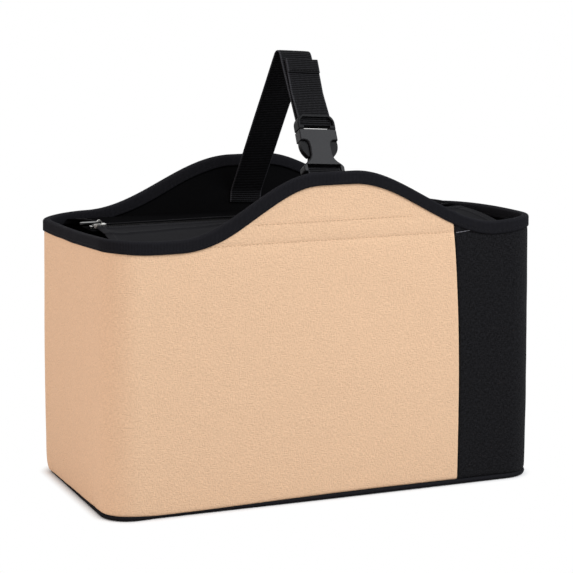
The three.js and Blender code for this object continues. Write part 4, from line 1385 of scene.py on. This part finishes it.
class ORGANIZER_OT_anchor(bpy.types.Operator):
    """Double the short webbing round the socket's bar and sew it to the front wall"""

    bl_idname = "organizer.anchor"
    bl_label = "Anchor webbing"

    def execute(self, context):
        w, _, strap = settings()
        foot_z, bend_z = 212 * MM, 230 * MM
        turn = 1.5 * MM + CLEAR + strap.thickness / 2
        layer = strap.thickness + CLEAR
        bar = along_buckle(-0.5 * MM, 0)

        def wall_point(z, out=0.0, drop=0.0):
            y = -inner_face(w, z) + CLEAR + strap.thickness / 2
            return Vector((y + out, z - drop))

        def spoke(angle):
            return Vector((math.cos(angle), math.sin(angle)))

        knee = wall_point(bend_z)
        rise = math.atan2(bar.y - bend_z, bar.x - knee.x)
        close = bar - spoke(rise) * (4 * turn)
        aside = Vector((math.sin(rise), -math.cos(rise))) * (layer / 2)
        half_turn = math.pi / 2 + 0.2
        arc = [bar + spoke(rise + a) * turn for a in between(half_turn, -half_turn, 16)]
        out = [(wall_point(foot_z), 0), (wall_point(bend_z, 0, -layer / 2), 3 * MM)]
        out += [(close - aside, 6 * MM), (arc[0], 0)]
        home = [(arc[-1], 0), (close + aside, 6 * MM)]
        home += [(wall_point(bend_z, layer, layer / 2), 2 * MM), (wall_point(foot_z, layer), 0)]
        line = rounded_line(out) + arc[1:-1] + rounded_line(home)
        cloth = webbing_cloth(strap)
        made = webbing_object("front_anchor_strap", line, strap, lambda _: strap.place, cloth)
        lean_over(strap, made)
        attach(made, "bag", "front_anchor_webbing")
        return {"FINISHED"}


class ORGANIZER_OT_buckle(bpy.types.Operator):
    """Round the moulded edges of the buckle and give it its grained finish"""

    bl_idname = "organizer.buckle"
    bl_label = "Buckle"

    def execute(self, context):
        _, _, strap = settings()
        satin = moulded_acetal("moulded_acetal_black", strap.plastic, 0.14)
        # The plug and the prongs take the socket's acetal at half its colour and with less shine:
        # painted shade
        darker = moulded_acetal("moulded_acetal_deep_black", shaded(strap.plastic, 0.5), 0.06)
        finish_node("buckle_socket", satin, strap.bevel)
        for name in ("buckle_plug", "prong_left", "prong_right"):
            finish_node(name, darker, strap.bevel)
        return {"FINISHED"}


# Stage

# Place, size and tone of each lamp; the stage's properties hold their powers
LAMPS = {
    "key": ((0.75, -0.95, 1.35), 1.1, "#f8fbff"),
    "fill": ((-1.7, -0.35, 0.7), 1.4, "#ffe9e1"),
    "back": ((0.1, 1.2, 1.7), 1.6, "#ffffff"),
}
LIT_POINT = Vector((0, 0, 0.12))
FLOOR_RADIUS, FLOOR_SIDES, FLOOR_DROP = 3, 64, 0.2 * MM
WHITE = (1, 1, 1)
# The paper is darker to the light that it throws back onto the object than to the eye
PAPER_LIT, PAPER_SEEN = (0.5, 0.5, 0.5), (0.8, 0.8, 0.8)
# Distances outside the walls between which the paper fades into white
FADE_FROM, FADE_TO = -3 * MM, 7 * MM


def seen_rays(tree):
    """1 for the rays that see the backdrop itself: camera, mirror and glass rays."""
    path = add_node(tree, "ShaderNodeLightPath").outputs
    inputs = {0: path["Is Camera Ray"], 1: path["Is Glossy Ray"]}
    either = add_node(tree, "ShaderNodeMath", inputs, operation="MAXIMUM")
    inputs = {0: either, 1: path["Is Transmission Ray"]}
    return add_node(tree, "ShaderNodeMath", inputs, operation="MAXIMUM")


class ORGANIZER_OT_stage(bpy.types.Operator):
    """Set up the camera, the pale floor, the even white surroundings and three large soft lamps"""

    bl_idname = "organizer.stage"
    bl_label = "Stage"

    def execute(self, context):
        scene = context.scene
        stage = scene.organizer_stage
        scene.view_settings.view_transform = "Standard"
        self.camera(scene, stage)
        self.surroundings(scene, stage)
        self.floor(scene)
        for name, (place, size, tone) in LAMPS.items():
            data = bpy.data.lights.new(f"{name}_lamp", "AREA")
            data.shape = "SQUARE"
            data.size = size
            data.energy = getattr(stage, name)
            data.color = linear(tone)
            lamp = bpy.data.objects.new(data.name, data)
            lamp.location = place
            lamp.rotation_euler = (LIT_POINT - Vector(place)).to_track_quat("-Z", "Y").to_euler()
            lamp.visible_camera = False
            scene.collection.objects.link(lamp)
        return {"FINISHED"}

    def camera(self, scene, stage):
        data = bpy.data.cameras.new("camera")
        data.lens = stage.lens
        data.sensor_width = 36
        camera = bpy.data.objects.new("camera", data)
        camera.location = stage.place
        camera.rotation_euler = stage.turn
        scene.collection.objects.link(camera)
        scene.camera = camera

    def surroundings(self, scene, stage):
        world = bpy.data.worlds.new("white_surroundings")
        tree = empty_tree(world)
        lit = add_node(tree, "ShaderNodeBackground", {0: WHITE, 1: stage.ambient})
        seen = add_node(tree, "ShaderNodeBackground", {0: WHITE, 1: 1.0})
        mixed = add_node(tree, "ShaderNodeMixShader", {0: seen_rays(tree), 1: lit, 2: seen})
        add_node(tree, "ShaderNodeOutputWorld", {0: mixed})
        scene.world = world

    def floor(self, scene):
        # Matt white paper sweep: it is white where nothing shades it, keeps the shadow of the
        # object, and runs out into the white surroundings.
        w, _, _ = settings()
        material = bpy.data.materials.new("matt_white_paper")
        tree = empty_tree(material)
        plain = add_node(tree, "ShaderNodeBsdfDiffuse", {0: PAPER_LIT})
        paper = add_node(tree, "ShaderNodeBsdfDiffuse", {0: PAPER_SEEN})
        white = add_node(tree, "ShaderNodeEmission", {0: WHITE, 1: 1.0})
        # How far a point lies from the core of the rounded oblong that the walls stand on
        place = add_node(tree, "ShaderNodeNewGeometry").outputs["Position"]
        half = (w.length / 2 - w.corner, w.depth / 2 - w.corner, 1)
        aside = add_node(tree, "ShaderNodeVectorMath", {0: place}, operation="ABSOLUTE")
        past = add_node(tree, "ShaderNodeVectorMath", {0: aside, 1: half}, operation="SUBTRACT")
        inputs = {0: past, 1: (0, 0, 0)}
        outside = add_node(tree, "ShaderNodeVectorMath", inputs, operation="MAXIMUM")
        away = add_node(tree, "ShaderNodeVectorMath", {0: outside}, operation="LENGTH")
        limits = {0: away.outputs["Value"], 1: w.corner + FADE_FROM, 2: w.corner + FADE_TO}
        fade = add_node(tree, "ShaderNodeMapRange", limits, interpolation_type="SMOOTHSTEP")
        seen = add_node(tree, "ShaderNodeMixShader", {0: fade, 1: paper, 2: white})
        mixed = add_node(tree, "ShaderNodeMixShader", {0: seen_rays(tree), 1: plain, 2: seen})
        add_node(tree, "ShaderNodeOutputMaterial", {0: mixed})
        angles = [math.tau * k / FLOOR_SIDES for k in range(FLOOR_SIDES)]
        rim = [(FLOOR_RADIUS * math.cos(a), FLOOR_RADIUS * math.sin(a), 0) for a in angles]
        mesh = bpy.data.meshes.new("floor")
        mesh.from_pydata(rim, [], [range(FLOOR_SIDES)])
        mesh.materials.append(material)
        floor = bpy.data.objects.new("floor", mesh)
        floor.location.z = -FLOOR_DROP
        scene.collection.objects.link(floor)


# Panel and registration

STEPS = (
    ORGANIZER_OT_outer_panels,
    ORGANIZER_OT_wall_stitches,
    ORGANIZER_OT_rim_binding,
    ORGANIZER_OT_base,
    ORGANIZER_OT_lining,
    ORGANIZER_OT_core,
    ORGANIZER_OT_lid,
    ORGANIZER_OT_zip,
    ORGANIZER_OT_strap,
    ORGANIZER_OT_anchor,
    ORGANIZER_OT_buckle,
    ORGANIZER_OT_stage,
)
GROUPS = {
    "organizer_walls": OrganizerWalls,
    "organizer_lid": OrganizerLid,
    "organizer_strap": OrganizerStrap,
    "organizer_stage": OrganizerStage,
}


class ORGANIZER_PT_panel(bpy.types.Panel):
    """Sizes, colours and building steps of the organizer"""

    bl_idname = "ORGANIZER_PT_panel"
    bl_label = "Stroller organizer"
    bl_space_type = "VIEW_3D"
    bl_region_type = "UI"
    bl_category = "Organizer"

    def draw(self, context):
        for name in GROUPS:
            box = self.layout.box()
            group = getattr(context.scene, name)
            for key in group.bl_rna.properties.keys():
                if key not in ("rna_type", "name"):
                    box.prop(group, key)
        for step in STEPS:
            self.layout.operator(step.bl_idname)


def register():
    for made in (*GROUPS.values(), *STEPS, ORGANIZER_PT_panel):
        bpy.utils.register_class(made)
    for name, group in GROUPS.items():
        setattr(bpy.types.Scene, name, bpy.props.PointerProperty(type=group))


def unregister():
    for name in GROUPS:
        delattr(bpy.types.Scene, name)
    for made in (ORGANIZER_PT_panel, *reversed(STEPS), *GROUPS.values()):
        bpy.utils.unregister_class(made)


def main():
    register()
    for step in STEPS:
        group, name = step.bl_idname.split(".")
        getattr(getattr(bpy.ops, group), name)()


if __name__ == "__main__":
    main()
